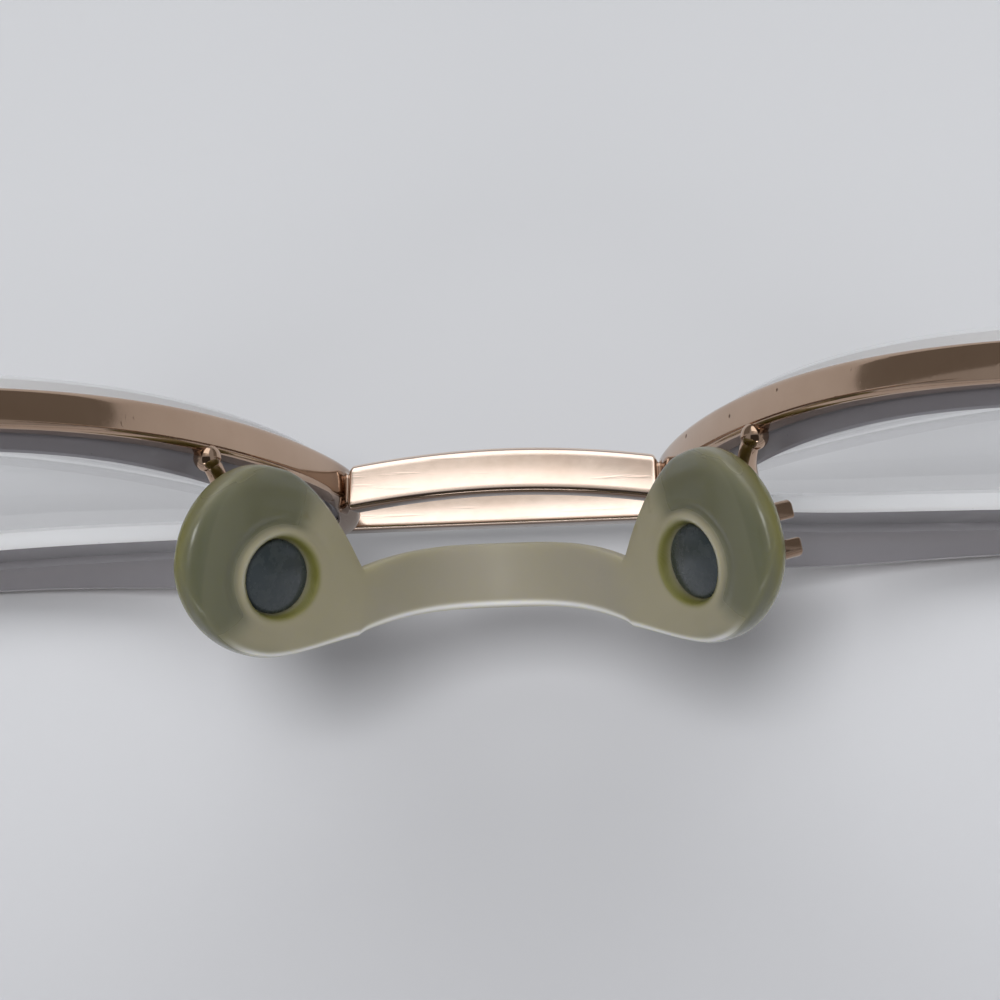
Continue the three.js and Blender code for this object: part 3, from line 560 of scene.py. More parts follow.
# Four Bezier curves between the points where the outline touches its box, as one dense run
def outlineCurve():
    x, y = lensShape["width"] / 2, lensShape["height"] / 2
    brow, outer, chin, nose = pick(lensShape, "brow temple chin nose")
    touch = np.array([(brow, y), (x, outer), (chin, -y), (-x, nose)])
    handle = np.array([(1, 0), (0, -1), (-1, 0), (0, 1)])
    fullness = np.array(pick(lensShape, "browFullness templeFullness chinFullness noseFullness"))
    t = np.linspace(0, 1, lensShape["curveSteps"], endpoint=False)[:, None]
    runs = []
    for start in range(4):
        end = (start + 1) % 4
        span = np.abs(touch[end] - touch[start])
        lead = touch[start] + handle[start] * span * fullness[start, 1]
        trail = touch[end] - handle[end] * span * fullness[end, 0]
        runs.append(bezier(touch[start], lead, trail, touch[end], t))
    return np.vstack(runs)


outlineDense = outlineCurve()
outlineLoop = np.vstack([outlineDense, outlineDense[:1]])
outlineAt = walkAlong(outlineLoop)
outlineLength = outlineAt[-1]


# Places on the outline at distances along it from the brow, with outward normals
def outlineStations(distance):
    reach = 0.05
    at = lambda d: np.stack([np.interp(np.mod(d, outlineLength), outlineAt, outlineLoop[:, k]) for k in (0, 1)], -1)
    run = unit(at(distance + reach) - at(distance - reach))
    return at(distance), np.stack([-run[:, 1], run[:, 0]], -1)


# Depth of a sphere behind its crown at a place on the lens
def sag(radius, place):
    return radius - np.sqrt(radius ** 2 - (place ** 2).sum(-1))


lensForward = (sag(lensShape["frontRadius"], np.array([lensShape["width"] / 2, lensShape["drop"]]))
               * math.cos(lensShape["wrap"]) - lensShape["width"] / 2 * math.sin(lensShape["wrap"]))
lensMiddle = (lensShape["gap"] + lensShape["width"]) / 2


# Lens places (towards the temple, up) and forward distances, to points of the front for one side
def lensToFront(place, ahead, side):
    c, s = math.cos(lensShape["wrap"]), math.sin(lensShape["wrap"])
    x = sides[side] * (lensMiddle + place[..., 0] * c + ahead * s)
    return np.stack([x, lensForward - place[..., 0] * s + ahead * c, lensShape["drop"] - place[..., 1]], -1)


# Distance along the outline at which its temple or nose side crosses a height
def outlineAtHeight(height, templeSide):
    x, y = outlineDense.T
    half = x > 0 if templeSide else (x < -lensShape["width"] / 4) & (y <= lensShape["nose"])
    return outlineAt[np.argmin(np.where(half, np.abs(y - height), np.inf))]


# Middle of a node's box
def boxMiddle(node):
    low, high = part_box(node)
    return (np.array(low) + np.array(high)) / 2


splitMiddle = toFront((boxMiddle("right_upper_closing_block") + boxMiddle("right_lower_closing_block")) / 2)
splitAt = outlineAtHeight(lensShape["drop"] - splitMiddle[2], True)
rimShare = np.linspace(0, 1, eyewire["stations"])
rimRun = splitAt + eyewire["splitGap"] / 2 + rimShare * (outlineLength - eyewire["splitGap"])
rimPlace, rimNormal = outlineStations(rimRun)

# The rims' outer face by the nose, in order down the lenses
onNose = (rimPlace[:, 0] < 0) & (np.abs(rimPlace[:, 1]) < eyewire["noseSpan"])
noseWall = lensToFront((rimPlace + rimNormal * rimOuter)[onNose], eyewire["noseAhead"], "left")
noseWall = noseWall[np.argsort(noseWall[:, 2])]


# Distance of that face from the middle at a place down the lenses, between the nearest stations
def wallReach(down):
    return np.interp(down, noseWall[:, 2], noseWall[:, 0])


# Section with more points on the flat side after one of its points, so that the side shades evenly
def fillFlat(section, at, count):
    return np.insert(section, at + 1, np.linspace(section[at], section[at + 1], count)[1:-1], axis=0)


# Rim section (out from the outline, ahead of it) with a V groove inside and a slightly crowned outer face
def rimSection():
    half, steps = eyewire["depth"] / 2, 4
    clearance, groove, lip, inner = pick(eyewire, "clearance grooveHalf lipEdge innerEdge")
    corners = [(rimOuter, -half), (rimOuter, half), (rimInner, half), (rimInner, groove), (clearance, 0),
               (rimInner, -groove), (rimInner, -half)]
    radii = [eyewire["outerEdge"]] * 2 + [inner, lip, eyewire["grooveEdge"], lip, inner]
    section = fillFlat(roundCorners(corners, radii, steps), steps, 10)
    face = section[:, 0] > rimOuter - 0.01
    section[face, 0] += eyewire["crown"] * (1 - (section[face, 1] / half) ** 2)
    return section


# Rim: its section carried along the outline on the front sphere, browned by patina and painted shade at the bars'
# joints
def makeEyewire(side):
    section = rimSection()
    place = rimPlace[:, None] + rimNormal[:, None] * section[None, :, :1]
    ahead = section[None, :, 1] - sag(lensShape["frontRadius"], rimPlace)[:, None]
    points = lensToFront(place, ahead, side)
    patinaAndShade = np.zeros(points.shape[:2])
    # Painted shade: the darkening round the brow bar's joint spreads far over the rim's face by the nose, beyond its
    # patina
    for down, spread in ((0, eyewire["bridgeStainAndShade"]), (-browBar["rise"], eyewire["browStainAndShade"])):
        joint = np.array([sides[side] * wallReach(down), eyewire["stainAndShadeAhead"], down])
        away = np.linalg.norm(points - joint, axis=-1)
        patinaAndShade = np.maximum(patinaAndShade, eyewire["jointStainAndShade"] * bell(away, 0, spread))
    zones = {"patinaAndShade": np.append(patinaAndShade.ravel(), [0, 0])}
    shells = [ringShell(placeFront(points))]
    makePiece(f"{side}Rim", shells, goldFinish, f"{side}_eyewire", "gold", zones=zones)


# Lens: polar rings over the front sphere, down a bevelled edge and back over the rear sphere
def makeLens(side):
    crown, thickness, safety, bevelHalf = pick(lensShape, "bevelSetback thickness safetyBevel bevelHalf")
    share = np.sin(np.linspace(0.02, np.pi / 2, lensShape["rings"]))
    wall = rimPlace - rimNormal * lensShape["bevelHeight"]
    lip = wall - rimNormal * safety
    front = lambda p: crown - sag(lensShape["frontRadius"], p)
    back = lambda p: crown - thickness - sag(lensShape["backRadius"], p)
    bevel = -sag(lensShape["frontRadius"], rimPlace)
    places = [lip * s for s in share] + [wall, wall, rimPlace, wall, wall] + [lip * s for s in share[::-1]]
    aheads = [front(lip * s) for s in share]
    aheads += [front(wall) - safety, bevel + bevelHalf, bevel, bevel - bevelHalf, back(wall) + safety]
    aheads += [back(lip * s) for s in share[::-1]]
    rings = placeFront(lensToFront(np.array(places), np.array(aheads), side))
    edgeRow = np.repeat(np.arange(len(rings) - 1), rings.shape[1]) - len(share) + 1
    kinds = np.where((edgeRow >= 0) & (edgeRow < 6), np.where(edgeRow < 2, 2, 1), 0)  # places in lensParts
    kinds = np.concatenate([kinds, np.zeros(2 * rings.shape[1], int)])
    makePiece(f"{side}Lens", [ringShell(rings)], lensParts, f"{side}_lens", "lens", sharp=20, faceKinds=kinds)


for side in sides:
    makeEyewire(side)
    makeLens(side)
print("rims and lenses made")


# Bridges

# line: width of the painted shade along a bar's rear face, here and in the brow bar
lowerBridge = {
    "depth": 2.3, "height": 1.3, "rise": 0.0, "bow": 0.75, "arch": 0.45, "setback": 0.375, "edge": 0.34,
    "crown": -0.03, "slant": math.radians(11.5), "valley": 0.3, "line": 0.3,
}
# The two stain strengths give painted shade on the bars' rear faces, and patina with painted shade by the rims
barEnds = {
    "dipAt": 0.24, "dipSpread": 0.16, "overlap": 0.12, "rearShade": 0.95, "endStainAndShade": 0.7, "endSpread": 0.28,
    "stations": 221, "cornerSteps": 6, "flatPoints": 14,
}


# Bar between the rims: a rounded section carried from rim to rim, its underside slanted, drawn in to a valley
# just before each rim and spread again where it is soldered on, with painted shade on its rear face and by the rims
def barShell(bar):
    steps = barEnds["cornerSteps"]
    section = roundedRectangle(bar["depth"], bar["height"], bar["edge"], steps)
    section = fillFlat(section, 2 * steps + 1, barEnds["flatPoints"])
    u = np.sin(np.linspace(-np.pi / 2, np.pi / 2, barEnds["stations"]))[:, None]
    rise = 1 - u ** 2
    line = -bar["rise"] - bar["arch"] * rise
    gap = wallReach(line) * (1 - np.abs(u))
    under = section[:, 1] > 0
    slanted = section.copy()
    slanted[under, 1] -= section[under, 0] * math.tan(bar["slant"])
    slanted[under, 1] += bar["crown"] * (1 - (2 * section[under, 0] / bar["depth"]) ** 2)
    dip = bar["valley"] * bell(gap, barEnds["dipAt"], barEnds["dipSpread"])
    y = bar["bow"] * rise - bar["setback"] + slanted[None, :, 0] * (1 - dip)
    v = line + slanted[None, :, 1] * (1 - dip - dip * under[None, :])
    x = u * (wallReach(v) + barEnds["overlap"])
    # Painted shade: a dark line along the rear face stands for a dark reflection; by the rims the darkening is
    # patina and painted shade
    rearShadeLine = smoothStep(bar["line"], 0.0, section[:, 0] + bar["depth"] / 2)
    nearRims = bell(gap, 0, barEnds["endSpread"])
    patinaAndShade = np.maximum(barEnds["rearShade"] * rearShadeLine, barEnds["endStainAndShade"] * nearRims)
    return ringShell(placeFront(np.stack([x, y, v], -1))), {"patinaAndShade": np.append(patinaAndShade.ravel(), [0, 0])}


for name, node, bar in (("lowerBridgeBar", "lower_bridge", lowerBridge), ("browBridgeBar", "brow_bar", browBar)):
    shell, zones = barShell(bar)
    makePiece(name, [shell], barFinish, node, "gold", zones=zones)
print("bridges made")


# Nose strap with its pads

noseStrap = {
    "angle": math.radians(30), "radius": 9.7, "crest": 0.9, "setback": 4.9, "sweep": 1.65, "padSweep": 0.5,
    "width": 3.15, "thickness": 1.4, "padReach": 13.5, "padLength": 10.8, "padWidth": 8.9, "padShift": 0.15,
    "padThickness": 3.1, "flareStart": 7.4, "padCrown": 0.9, "padSplay": math.radians(14),
    "backCorner": 0.8, "faceCorner": 0.5, "coreLength": 4.1, "coreWidth": 3.3, "coreThickness": 1.0,
    "coreRecess": 0.35, "coreClearance": 0.2, "coreShift": 0.45, "coreGap": 0.07,
    "flatShare": 0.36, "lip": 0.12, "frontSkew": 0.25, "frontCorner": 0.85, "windowSink": 0.12,
}
# Marks on the pads: middle and spread of a bell curve, or start and end of a rise
# The crease, dome and ring marks place painted shade, the edge mark a painted glow, the crescent and rear marks
# painted highlights
padMarks = {
    "sink": (1.06, 0.95), "ridge": (1.17, 0.07), "groove": (1.45, 0.12), "grooveShare": 0.6,
    "crease": (1.2, 1.42), "creaseSide": (0.42, 0.72), "creaseShade": 0.9, "ring": (1.02, 0.09),
    "crescentHighlight": (1.13, 0.05), "crescentSide": (0.7, 1.0), "crescentShare": 0.3,
    "face": (1.35, 0.9), "domeShade": (0.08, 0.55), "edge": (0.9, 1.7), "edgeGlowShare": 0.9,
    "grimeAhead": (3.4, 1.4), "grimeDown": (-2.0, 2.6), "grimeShare": 0.8,
    "rearHighlight": (0.16, 0.13), "rearFade": (0.5, 3.0),
}
saddleCot = 1 / math.tan(noseStrap["angle"])
saddleX = np.linspace(0, 24, 4801)
saddleFall = np.hypot(saddleX * saddleCot, noseStrap["radius"]) - noseStrap["radius"]
saddleWalk = walkAlong(np.stack([saddleX, saddleFall], -1))


# Axes of the strap at signed distances from its crest: contact line, run, width and outward way
def strapAxes(distance):
    radius, reach, sweep = pick(noseStrap, "radius padReach sweep")
    side = np.where(distance < 0, -1.0, 1.0)
    away = np.abs(distance)
    x = np.interp(away, saddleWalk, saddleX)
    fall = np.hypot(x * saddleCot, radius)
    slope = x * saddleCot ** 2 / fall
    norm = np.hypot(1, slope)
    zero = np.zeros_like(x)
    origin = np.stack([x, zero - noseStrap["setback"], noseStrap["crest"] + fall - radius], -1)
    run = np.stack([1 / norm, zero, slope / norm], -1)
    plain = np.stack([slope / norm, zero, -1 / norm], -1)
    neck = reach - noseStrap["padLength"] / 2
    origin[:, 1] -= sweep * np.minimum(1, away / neck) ** 2
    origin[:, 1] += (sweep - noseStrap["padSweep"]) * smoothStep(neck, reach, away)
    lean = (noseStrap["padSplay"] * smoothStep(0, reach, away))[:, None]
    ahead = np.array([0.0, 1.0, 0.0])
    outward = plain * np.cos(lean) + ahead * np.sin(lean)
    width = ahead * np.cos(lean) - plain * np.sin(lean)
    mirror = np.stack([side, np.ones_like(side), np.ones_like(side)], -1)
    return origin * mirror, run * mirror, width * mirror, outward * mirror


# Strap section: reach to the front and the rear, thickness, and the lift of its contact side; a narrow band
# that flares to the rear and swells into an oval pad with a rounded end
def strapSize(distance):
    reach, skew, flat, thick = pick(noseStrap, "padReach frontSkew flatShare padThickness")
    neck, padHalf, shift = noseStrap["width"] / 2, noseStrap["padWidth"] / 2, noseStrap["padShift"]
    away = np.abs(distance)
    fromPad = (away - reach) / (noseStrap["padLength"] / 2)
    atEnd = fromPad > 0
    roundness = np.sqrt(np.maximum(0, 1 - fromPad ** 2))
    fromPeak = (fromPad - skew) / np.where(fromPad < skew, 1 + skew, 1 - skew)
    padFront = (padHalf + shift) * np.sqrt(np.maximum(0, 1 - fromPeak ** 2))
    padRear = padHalf - shift
    flared = blend(neck, padRear, smoothStep(noseStrap["flareStart"], reach, away))
    front = np.where(atEnd, padFront, (padFront ** 4 + neck ** 4) ** 0.25)
    rear = np.where(atEnd, padRear * roundness, flared)
    band = blend(noseStrap["thickness"], thick, smoothStep(-1, 0, fromPad))
    bent = np.clip((fromPad - flat) / (1 - flat), 0, 1)
    lift = np.where(atEnd, thick / 2 * (1 - np.sqrt(1 - bent ** 2)), 0)
    return front, rear, np.where(atEnd, thick / 2 * (1 + roundness) - lift, band), lift


# The pad's own axes on one side, as (origin, axes down it, across it and out of its back)
def padAxes(side):
    origin, run, width, outward = strapAxes(np.array([sides[side] * noseStrap["padReach"]]))
    return origin[0], np.stack([run[0], width[0], outward[0]])


# Points on a pad's own axes, to the row frame
def placePad(points, side):
    origin, axes = padAxes(side)
    return placeFront(origin + points @ axes)


# Angles of the contact side's section, at even steps along its length on a pad of usual width and crown
def faceAngles(count, halfWidth=3.2, crown=0.7):
    angle = np.linspace(np.pi, 2 * np.pi, 4001)
    power = noseStrap["faceCorner"]
    x = halfWidth * np.sign(np.cos(angle)) * np.abs(np.cos(angle)) ** power
    y = crown * np.abs(np.sin(angle)) ** power
    walk = walkAlong(np.stack([x, y], -1))
    return np.interp(np.linspace(0, walk[-1], count, endpoint=False), walk, angle)


# Strap: a squared oval section along the saddle, flatter on its contact side; inside each pad's oval window
# the face is pressed in, with a lip and a crease round it
def makeStrap():
    end = np.sin(np.linspace(0, 1, 90) * math.radians(88))
    reach, half, padHalf = noseStrap["padReach"], noseStrap["padLength"] / 2, noseStrap["padWidth"] / 2
    distance = np.concatenate([np.linspace(0, reach, 170, endpoint=False), reach + half * end])
    distance = np.concatenate([-distance[:0:-1], distance])
    origin, _, width, outward = strapAxes(distance)
    front, rear, thickness, lift = strapSize(distance)
    halfWidth = (front + rear) / 2
    crown = np.minimum(noseStrap["padCrown"] * halfWidth / padHalf, thickness / 2)
    angle = np.concatenate([np.linspace(0, np.pi, 44, endpoint=False), faceAngles(120)])
    onFace = np.sin(angle) < 0
    domed = smoothStep(reach - half, reach, np.abs(distance))[:, None] * (np.cos(angle) > 0)
    facePower = blend(noseStrap["faceCorner"], noseStrap["frontCorner"], domed)
    power = np.where(onFace, facePower, noseStrap["backCorner"])
    squared = lambda a: np.sign(a) * np.abs(a) ** power
    across = ((front - rear) / 2)[:, None] + halfWidth[:, None] * squared(np.cos(angle))
    rise = np.where(onFace, crown[:, None], (thickness - crown)[:, None])
    out = (lift + crown)[:, None] + rise * squared(np.sin(angle))
    points = origin[:, None] + width[:, None] * across[..., None] + outward[:, None] * out[..., None]
    fromRear = across + rear[:, None]
    zones = {name: np.zeros_like(out) for name in ("padFace", "padDomeShade", "padEdgeGlow", "windowRingShade", "grimeZone")}
    # Painted highlight: a pale line along the contact side's rear edge
    zones["paintedHighlight"] = bell(fromRear, *padMarks["rearHighlight"]) * onFace
    for name in sides:
        padOrigin, axes = padAxes(name)
        local = (points - padOrigin) @ axes.T
        alongPad, overPad, height = local[..., 0], local[..., 1], local[..., 2]
        spare = noseStrap["coreClearance"]
        down = alongPad / (noseStrap["coreLength"] / 2 + spare)
        ahead = (overPad + noseStrap["coreShift"]) / (noseStrap["coreWidth"] / 2 + spare)
        ring = np.hypot(down, ahead)  # 1 on the window's edge
        near = onFace & (np.abs(alongPad) < half)
        upperSide = 0.5 + 0.5 * (down + 0.5 * ahead) / np.maximum(ring, 0.1)  # towards the free end
        sink = (noseStrap["coreRecess"] + noseStrap["windowSink"]) * smoothStep(*padMarks["sink"], ring)
        ridge = bell(ring, *padMarks["ridge"]) - padMarks["grooveShare"] * bell(ring, *padMarks["groove"])
        lip = noseStrap["lip"] * ridge * upperSide
        points = points + np.where(near, sink - lip, 0)[..., None] * axes[2]
        # Painted shade: darker green over the pad's rounded-off side and past the crease on its free side
        crease = smoothStep(*padMarks["crease"], ring) * smoothStep(*padMarks["creaseSide"], upperSide)
        domeShade = np.maximum(smoothStep(*padMarks["domeShade"], height), padMarks["creaseShade"] * crease)
        face = smoothStep(*padMarks["face"], np.hypot(alongPad / half, overPad / padHalf))
        # Painted glow: a deeper yellow where light passes through the silicone near the pad's outer edge
        edge = padMarks["edgeGlowShare"] * smoothStep(*padMarks["edge"], height)
        grime = bell(overPad, *padMarks["grimeAhead"]) * bell(alongPad, *padMarks["grimeDown"])
        # Painted shade: a dark yellow ring round each window's recess
        for zone, value in (("padFace", face), ("padDomeShade", face * domeShade), ("padEdgeGlow", face * edge),
                            ("windowRingShade", bell(ring, *padMarks["ring"]) * near),
                            ("grimeZone", padMarks["grimeShare"] * grime * onFace)):
            zones[zone] = np.maximum(zones[zone], value)
        # Painted highlight: the rear line fades along the pad, and a pale crescent lies beside each window on its
        # free side
        zones["paintedHighlight"] *= 1 - smoothStep(*padMarks["rearFade"], alongPad)
        crescentHighlight = bell(ring, *padMarks["crescentHighlight"]) * smoothStep(*padMarks["crescentSide"], upperSide)
        zones["paintedHighlight"] += padMarks["crescentShare"] * crescentHighlight * near
    shell = ringShell(placeFront(points))
    withPoles = lambda field: np.concatenate([field.ravel(), [field[0].mean(), field[-1].mean()]])
    zones = {name: withPoles(field) for name, field in zones.items()}
    strap = makePiece("siliconeStrap", [shell], strapFinish, "nose_strap", "silicone", sharp=60, zones=zones)


makeStrap()
print("nose strap made")


# Pad cores, boxes, screws and arms

padMount = {
    "stemRadius": 0.8, "tabLength": 1.4, "tabThickness": 0.6, "tabDepth": 1.7, "gap": 0.2, "play": 0.15,
    "tabCorner": 0.12, "tabEdge": 0.1, "plateDome": 0.25, "plateEdge": 0.25, "plateCount": 72,
    "boxLength": 2.5, "boxWidth": 2.7, "boxHeight": 2.2, "boxEdge": 0.18, "patinaAndShade": 0.4,
    "boxCorners": [0.15, 0.35, 0.35, 0.35, 0.35, 0.15, 0.1, 0.1],
    "screwRadius": 0.4, "headRadius": 0.75, "headHeight": 0.45, "screwLength": 2.3,
    "armRadius": 0.45, "armRootDrop": 0.9, "armRootReach": 1.5, "armRootBend": 1.2, "armTipReach": 1.5,
    "armSink": 0.1, "armFlare": 0.2, "flareLength": 0.35, "solder": 0.66,
}
boxFloor = noseStrap["padThickness"] + padMount["gap"]
padScrewHeight = boxFloor + padMount["tabDepth"] / 2
screwShape = {"edge": 0.3, "slot": (0.24, 0.19), "slotDepth": 0.45, "underEdge": 0.03, "endBevel": 0.1, "seat": 0.02}


# Screw along z with its head below zero: turned rings whose top sinks into a straight slot
def slottedScrew(sizes, shank):
    radius, headRadius, headHeight = pick(sizes, "screwRadius headRadius headHeight")
    under, bevel = screwShape["underEdge"], screwShape["endBevel"]
    edge = headHeight * screwShape["edge"]
    inset, lift = quarterRound(edge)
    top = [(r, -headHeight) for r in np.linspace(0.02, headRadius - edge, 14, endpoint=False)]
    rim = np.stack([headRadius - inset, lift - headHeight], -1)
    neck = [(headRadius, -under), (headRadius - under, 0), (radius, 0)]
    rings = turned(np.vstack([top, rim, neck, [(radius, shank - bevel), (radius - bevel, shank)]]), 64)
    slot = smoothStep(*screwShape["slot"], np.abs(rings[..., 1]) / headRadius)
    onTop = rings[..., 2] < -headHeight / 2
    rings[..., 2] += slot * onTop * headHeight * screwShape["slotDepth"]
    return rings


# Core: a domed oval plate, its round stem, and the tab between the jaws of the box
def makePadCore(side):
    recess, thickness = noseStrap["coreRecess"], noseStrap["coreThickness"]
    bottom = recess + thickness
    inset, lift = quarterRound(padMount["plateEdge"], 5)
    top = np.linspace(0.03, 1 - padMount["plateEdge"] / 2, 12)
    share = np.concatenate([top, 1 - inset[1:] / 2, [1.0, 0.9]])
    height = np.concatenate([np.zeros(len(top)), lift[1:], [thickness] * 2])
    height += recess - padMount["plateDome"] * np.maximum(0, 1 - share ** 2)
    grown = noseStrap["coreClearance"] - noseStrap["coreGap"]
    halfLength, halfWidth = noseStrap["coreLength"] / 2 + grown, noseStrap["coreWidth"] / 2 + grown
    oval = ovalSection(halfLength, halfWidth, padMount["plateCount"])
    flat = oval * share[:, None, None] - [0, noseStrap["coreShift"]]
    plate = stackRings(flat[..., 0], flat[..., 1], height[:, None])
    stem = turned([(padMount["stemRadius"], bottom - 0.2), (padMount["stemRadius"], noseStrap["padThickness"])])
    plan = roundedRectangle(padMount["tabLength"], padMount["tabThickness"], padMount["tabCorner"], 3)
    tab = roundedBlock(plan, bottom, boxFloor + padMount["tabDepth"], padMount["tabEdge"])
    shells = [ringShell(plate), ringShell(stem), tab]
    sidePiece(side, "PadCore", shells, placePad, darkCore, "pad_core", "core")


# Box: a U in plan, two jaws joined at their upper end, with rounded edges
def makePadBox(side):
    x, y = padMount["boxLength"] / 2, padMount["boxWidth"] / 2
    slotY = padMount["tabThickness"] / 2 + padMount["play"]
    slotX = -padMount["tabLength"] / 2 - padMount["play"]
    corners = [(x, slotY), (x, y), (-x, y), (-x, -y), (x, -y), (x, -slotY), (slotX, -slotY), (slotX, slotY)]
    plan = roundCorners(corners, padMount["boxCorners"])
    count = len(plan)
    base = np.column_stack([plan, np.full(count, boxFloor)])
    points = np.vstack([base, base + [0, 0, padMount["boxHeight"]]])
    ring = np.arange(count)
    following = (ring + 1) % count
    walls = np.stack([ring, following, following + count, ring + count], -1)
    shells = [(points, [walls, ring[None, ::-1], ring[None] + count])]
    # The whole box is darkened by the brown: painted shade along with its patina
    zones = {"patinaAndShade": np.full(2 * count, padMount["patinaAndShade"])}
    box = sidePiece(side, "PadBox", shells, placePad, goldFinish, "pad_box", "gold", sharp=180, zones=zones)
    bevel = box.modifiers.new("softEdges", "BEVEL")
    bevel.width = padMount["boxEdge"] * mm
    bevel.segments = 3
    bevel.limit_method = "ANGLE"
    bevel.angle_limit = math.radians(50)


# Screw across the jaws, its head on their rear side
def makePadScrew(side):
    rings = slottedScrew(padMount, padMount["screwLength"])
    rings[..., 2] -= padMount["boxWidth"] / 2 + screwShape["seat"]
    across = np.stack([rings[..., 0], rings[..., 2], padScrewHeight - rings[..., 1]], -1)
    sidePiece(side, "PadScrew", [ringShell(across)], placePad, screwFinish, "pad_screw", "screw")


# Tube round a path: circles on axes square to the path, with a radius for each station
def tubeRings(path, radius, count=28):
    run = unit(np.gradient(path, axis=0))
    first = unit(np.cross(run, np.array([0.3, 0.2, 1.0])))
    second = np.cross(run, first)
    angle = circleAngles(count)[None, :, None]
    circle = first[:, None] * np.cos(angle) + second[:, None] * np.sin(angle)
    return path[:, None] + circle * np.asarray(radius)[:, None, None]


# Arm: a Bezier wire from the back of the rim to the box, with a ball of solder at its root
def makePadArm(side):
    origin, axes = padAxes(side)
    sink = padMount["armSink"]
    height = lensShape["drop"] - origin[2] - padMount["armRootDrop"]
    place, normal = outlineStations(np.array([outlineAtHeight(height, False)]))
    middle = place + normal * (rimOuter + rimInner) / 2
    ahead = sink - eyewire["depth"] / 2 - sag(lensShape["frontRadius"], place)
    start = lensToFront(middle, ahead, side)[0]
    lead = lensToFront(middle + normal * padMount["armRootBend"], ahead, side)[0]
    lead -= np.array([0, padMount["armRootReach"], 0])
    tip = origin + np.array([0, padMount["boxWidth"] / 2 - sink, boxFloor + padMount["boxHeight"] / 2]) @ axes
    trail = tip + axes[1] * padMount["armTipReach"]
    path = bezier(start, lead, trail, tip, np.linspace(0, 1, 72)[:, None])
    walk = walkAlong(path)
    radius = padMount["armRadius"] + padMount["armFlare"] * bell(walk, walk[-1], padMount["flareLength"])
    turn = np.linspace(math.radians(4), math.radians(176), 24)
    ball = turned(padMount["solder"] * np.stack([np.sin(turn), np.cos(turn)], -1), 36) + path[6]
    shells = [ringShell(placeFront(tubeRings(path, radius))), ringShell(placeFront(ball))]
    makePiece(f"{side}PadArm", shells, goldFinish, f"{side}_pad_arm", "gold")


for side in sides:
    makePadCore(side)
    makePadBox(side)
    makePadScrew(side)
    makePadArm(side)
print("pad mounts made")


# Closing blocks and rim screws

closing = {
    "height": 2.0, "reach": 2.6, "depth": 2.4, "corner": 0.55, "edge": 0.18, "gap": 0.2, "rootSink": 0.1,
    "screwRadius": 0.5, "headRadius": 0.95, "headHeight": 0.6, "screwLength": 4.0,
}


# Points (out from the rim, ahead, up the split) on the split's own axes, to the row frame
def placeSplit(points, side):
    place, normal = outlineStations(np.array([splitAt]))
    up = np.array([-normal[0, 1], normal[0, 0]])
    middle = place[0] + normal[0] * (rimOuter + closing["gap"] + closing["reach"] / 2)
    spot = middle + points[..., :1] * normal[0] + points[..., 2:] * up
    return placeFront(lensToFront(spot, points[..., 1] - sag(lensShape["frontRadius"], place[0]), side))


# Two blocks above and below the rim's split, and the screw that draws them together
def makeClosing(side):
    high, gap = closing["height"], eyewire["splitGap"] / 2
    root = closing["gap"] + closing["rootSink"]
    plan = roundedRectangle(closing["reach"] + root, closing["depth"], closing["corner"], 6) - [root / 2, 0]
    for label, low in (("upper", gap), ("lower", -gap - high)):
        block = roundedBlock(plan, low, low + high, closing["edge"])
        sidePiece(side, f"{label.title()}Block", [block], placeSplit, goldFinish, f"{label}_closing_block", "gold")
    rings = slottedScrew(closing, closing["screwLength"])
    rings[..., 2] -= gap + high + screwShape["seat"]
    sidePiece(side, "RimScrew", [ringShell(rings)], placeSplit, screwFinish, "rim_screw", "screw")


# Hinges, endpieces, temples and tips

hinge = {
    "knuckleRadius": 1.0, "knuckleHeight": 1.3, "knuckleGap": 0.15, "leafThickness": 0.75, "leafLength": 3.25,
    "leafGap": 0.15, "leafEdge": 0.1, "webReach": 0.4, "webEdge": 0.05, "webInset": 0.02, "edge": 0.12,
    "screwRadius": 0.45, "boreGap": 0.06, "headRadius": 0.8, "headHeight": 0.5, "screwSpare": 0.2,
}
endpiece = {"length": 6.0, "reach": 0.9, "height": 3.2, "turn": 1.4, "edge": 0.3, "butt": 0.15,
            "straight": 2.0, "root": 0.35}
temple = {
    "thickness": 1.5, "height": 3.4, "endHeight": 2.4, "taper": 10.0, "edge": 0.35, "tipStart": 74.0,
    "bendStart": 92.0, "bendRadius": 38.0, "bendAngle": math.radians(40), "tail": 18.0, "buttEdge": 0.15,
    "tipThickness": 3.4, "mouthHeight": 4.2, "tailHeight": 6.8, "mouthGap": 0.2, "mouthEdge": 0.12,
}
templeMiddle = hinge["knuckleRadius"] + hinge["leafGap"] + temple["thickness"] / 2
knucklePitch = hinge["knuckleHeight"] + hinge["knuckleGap"]
hingeHeight = knucklePitch * 2 + hinge["knuckleHeight"]
templeBodies = {side: f"{side}_temple_arm" for side in sides}


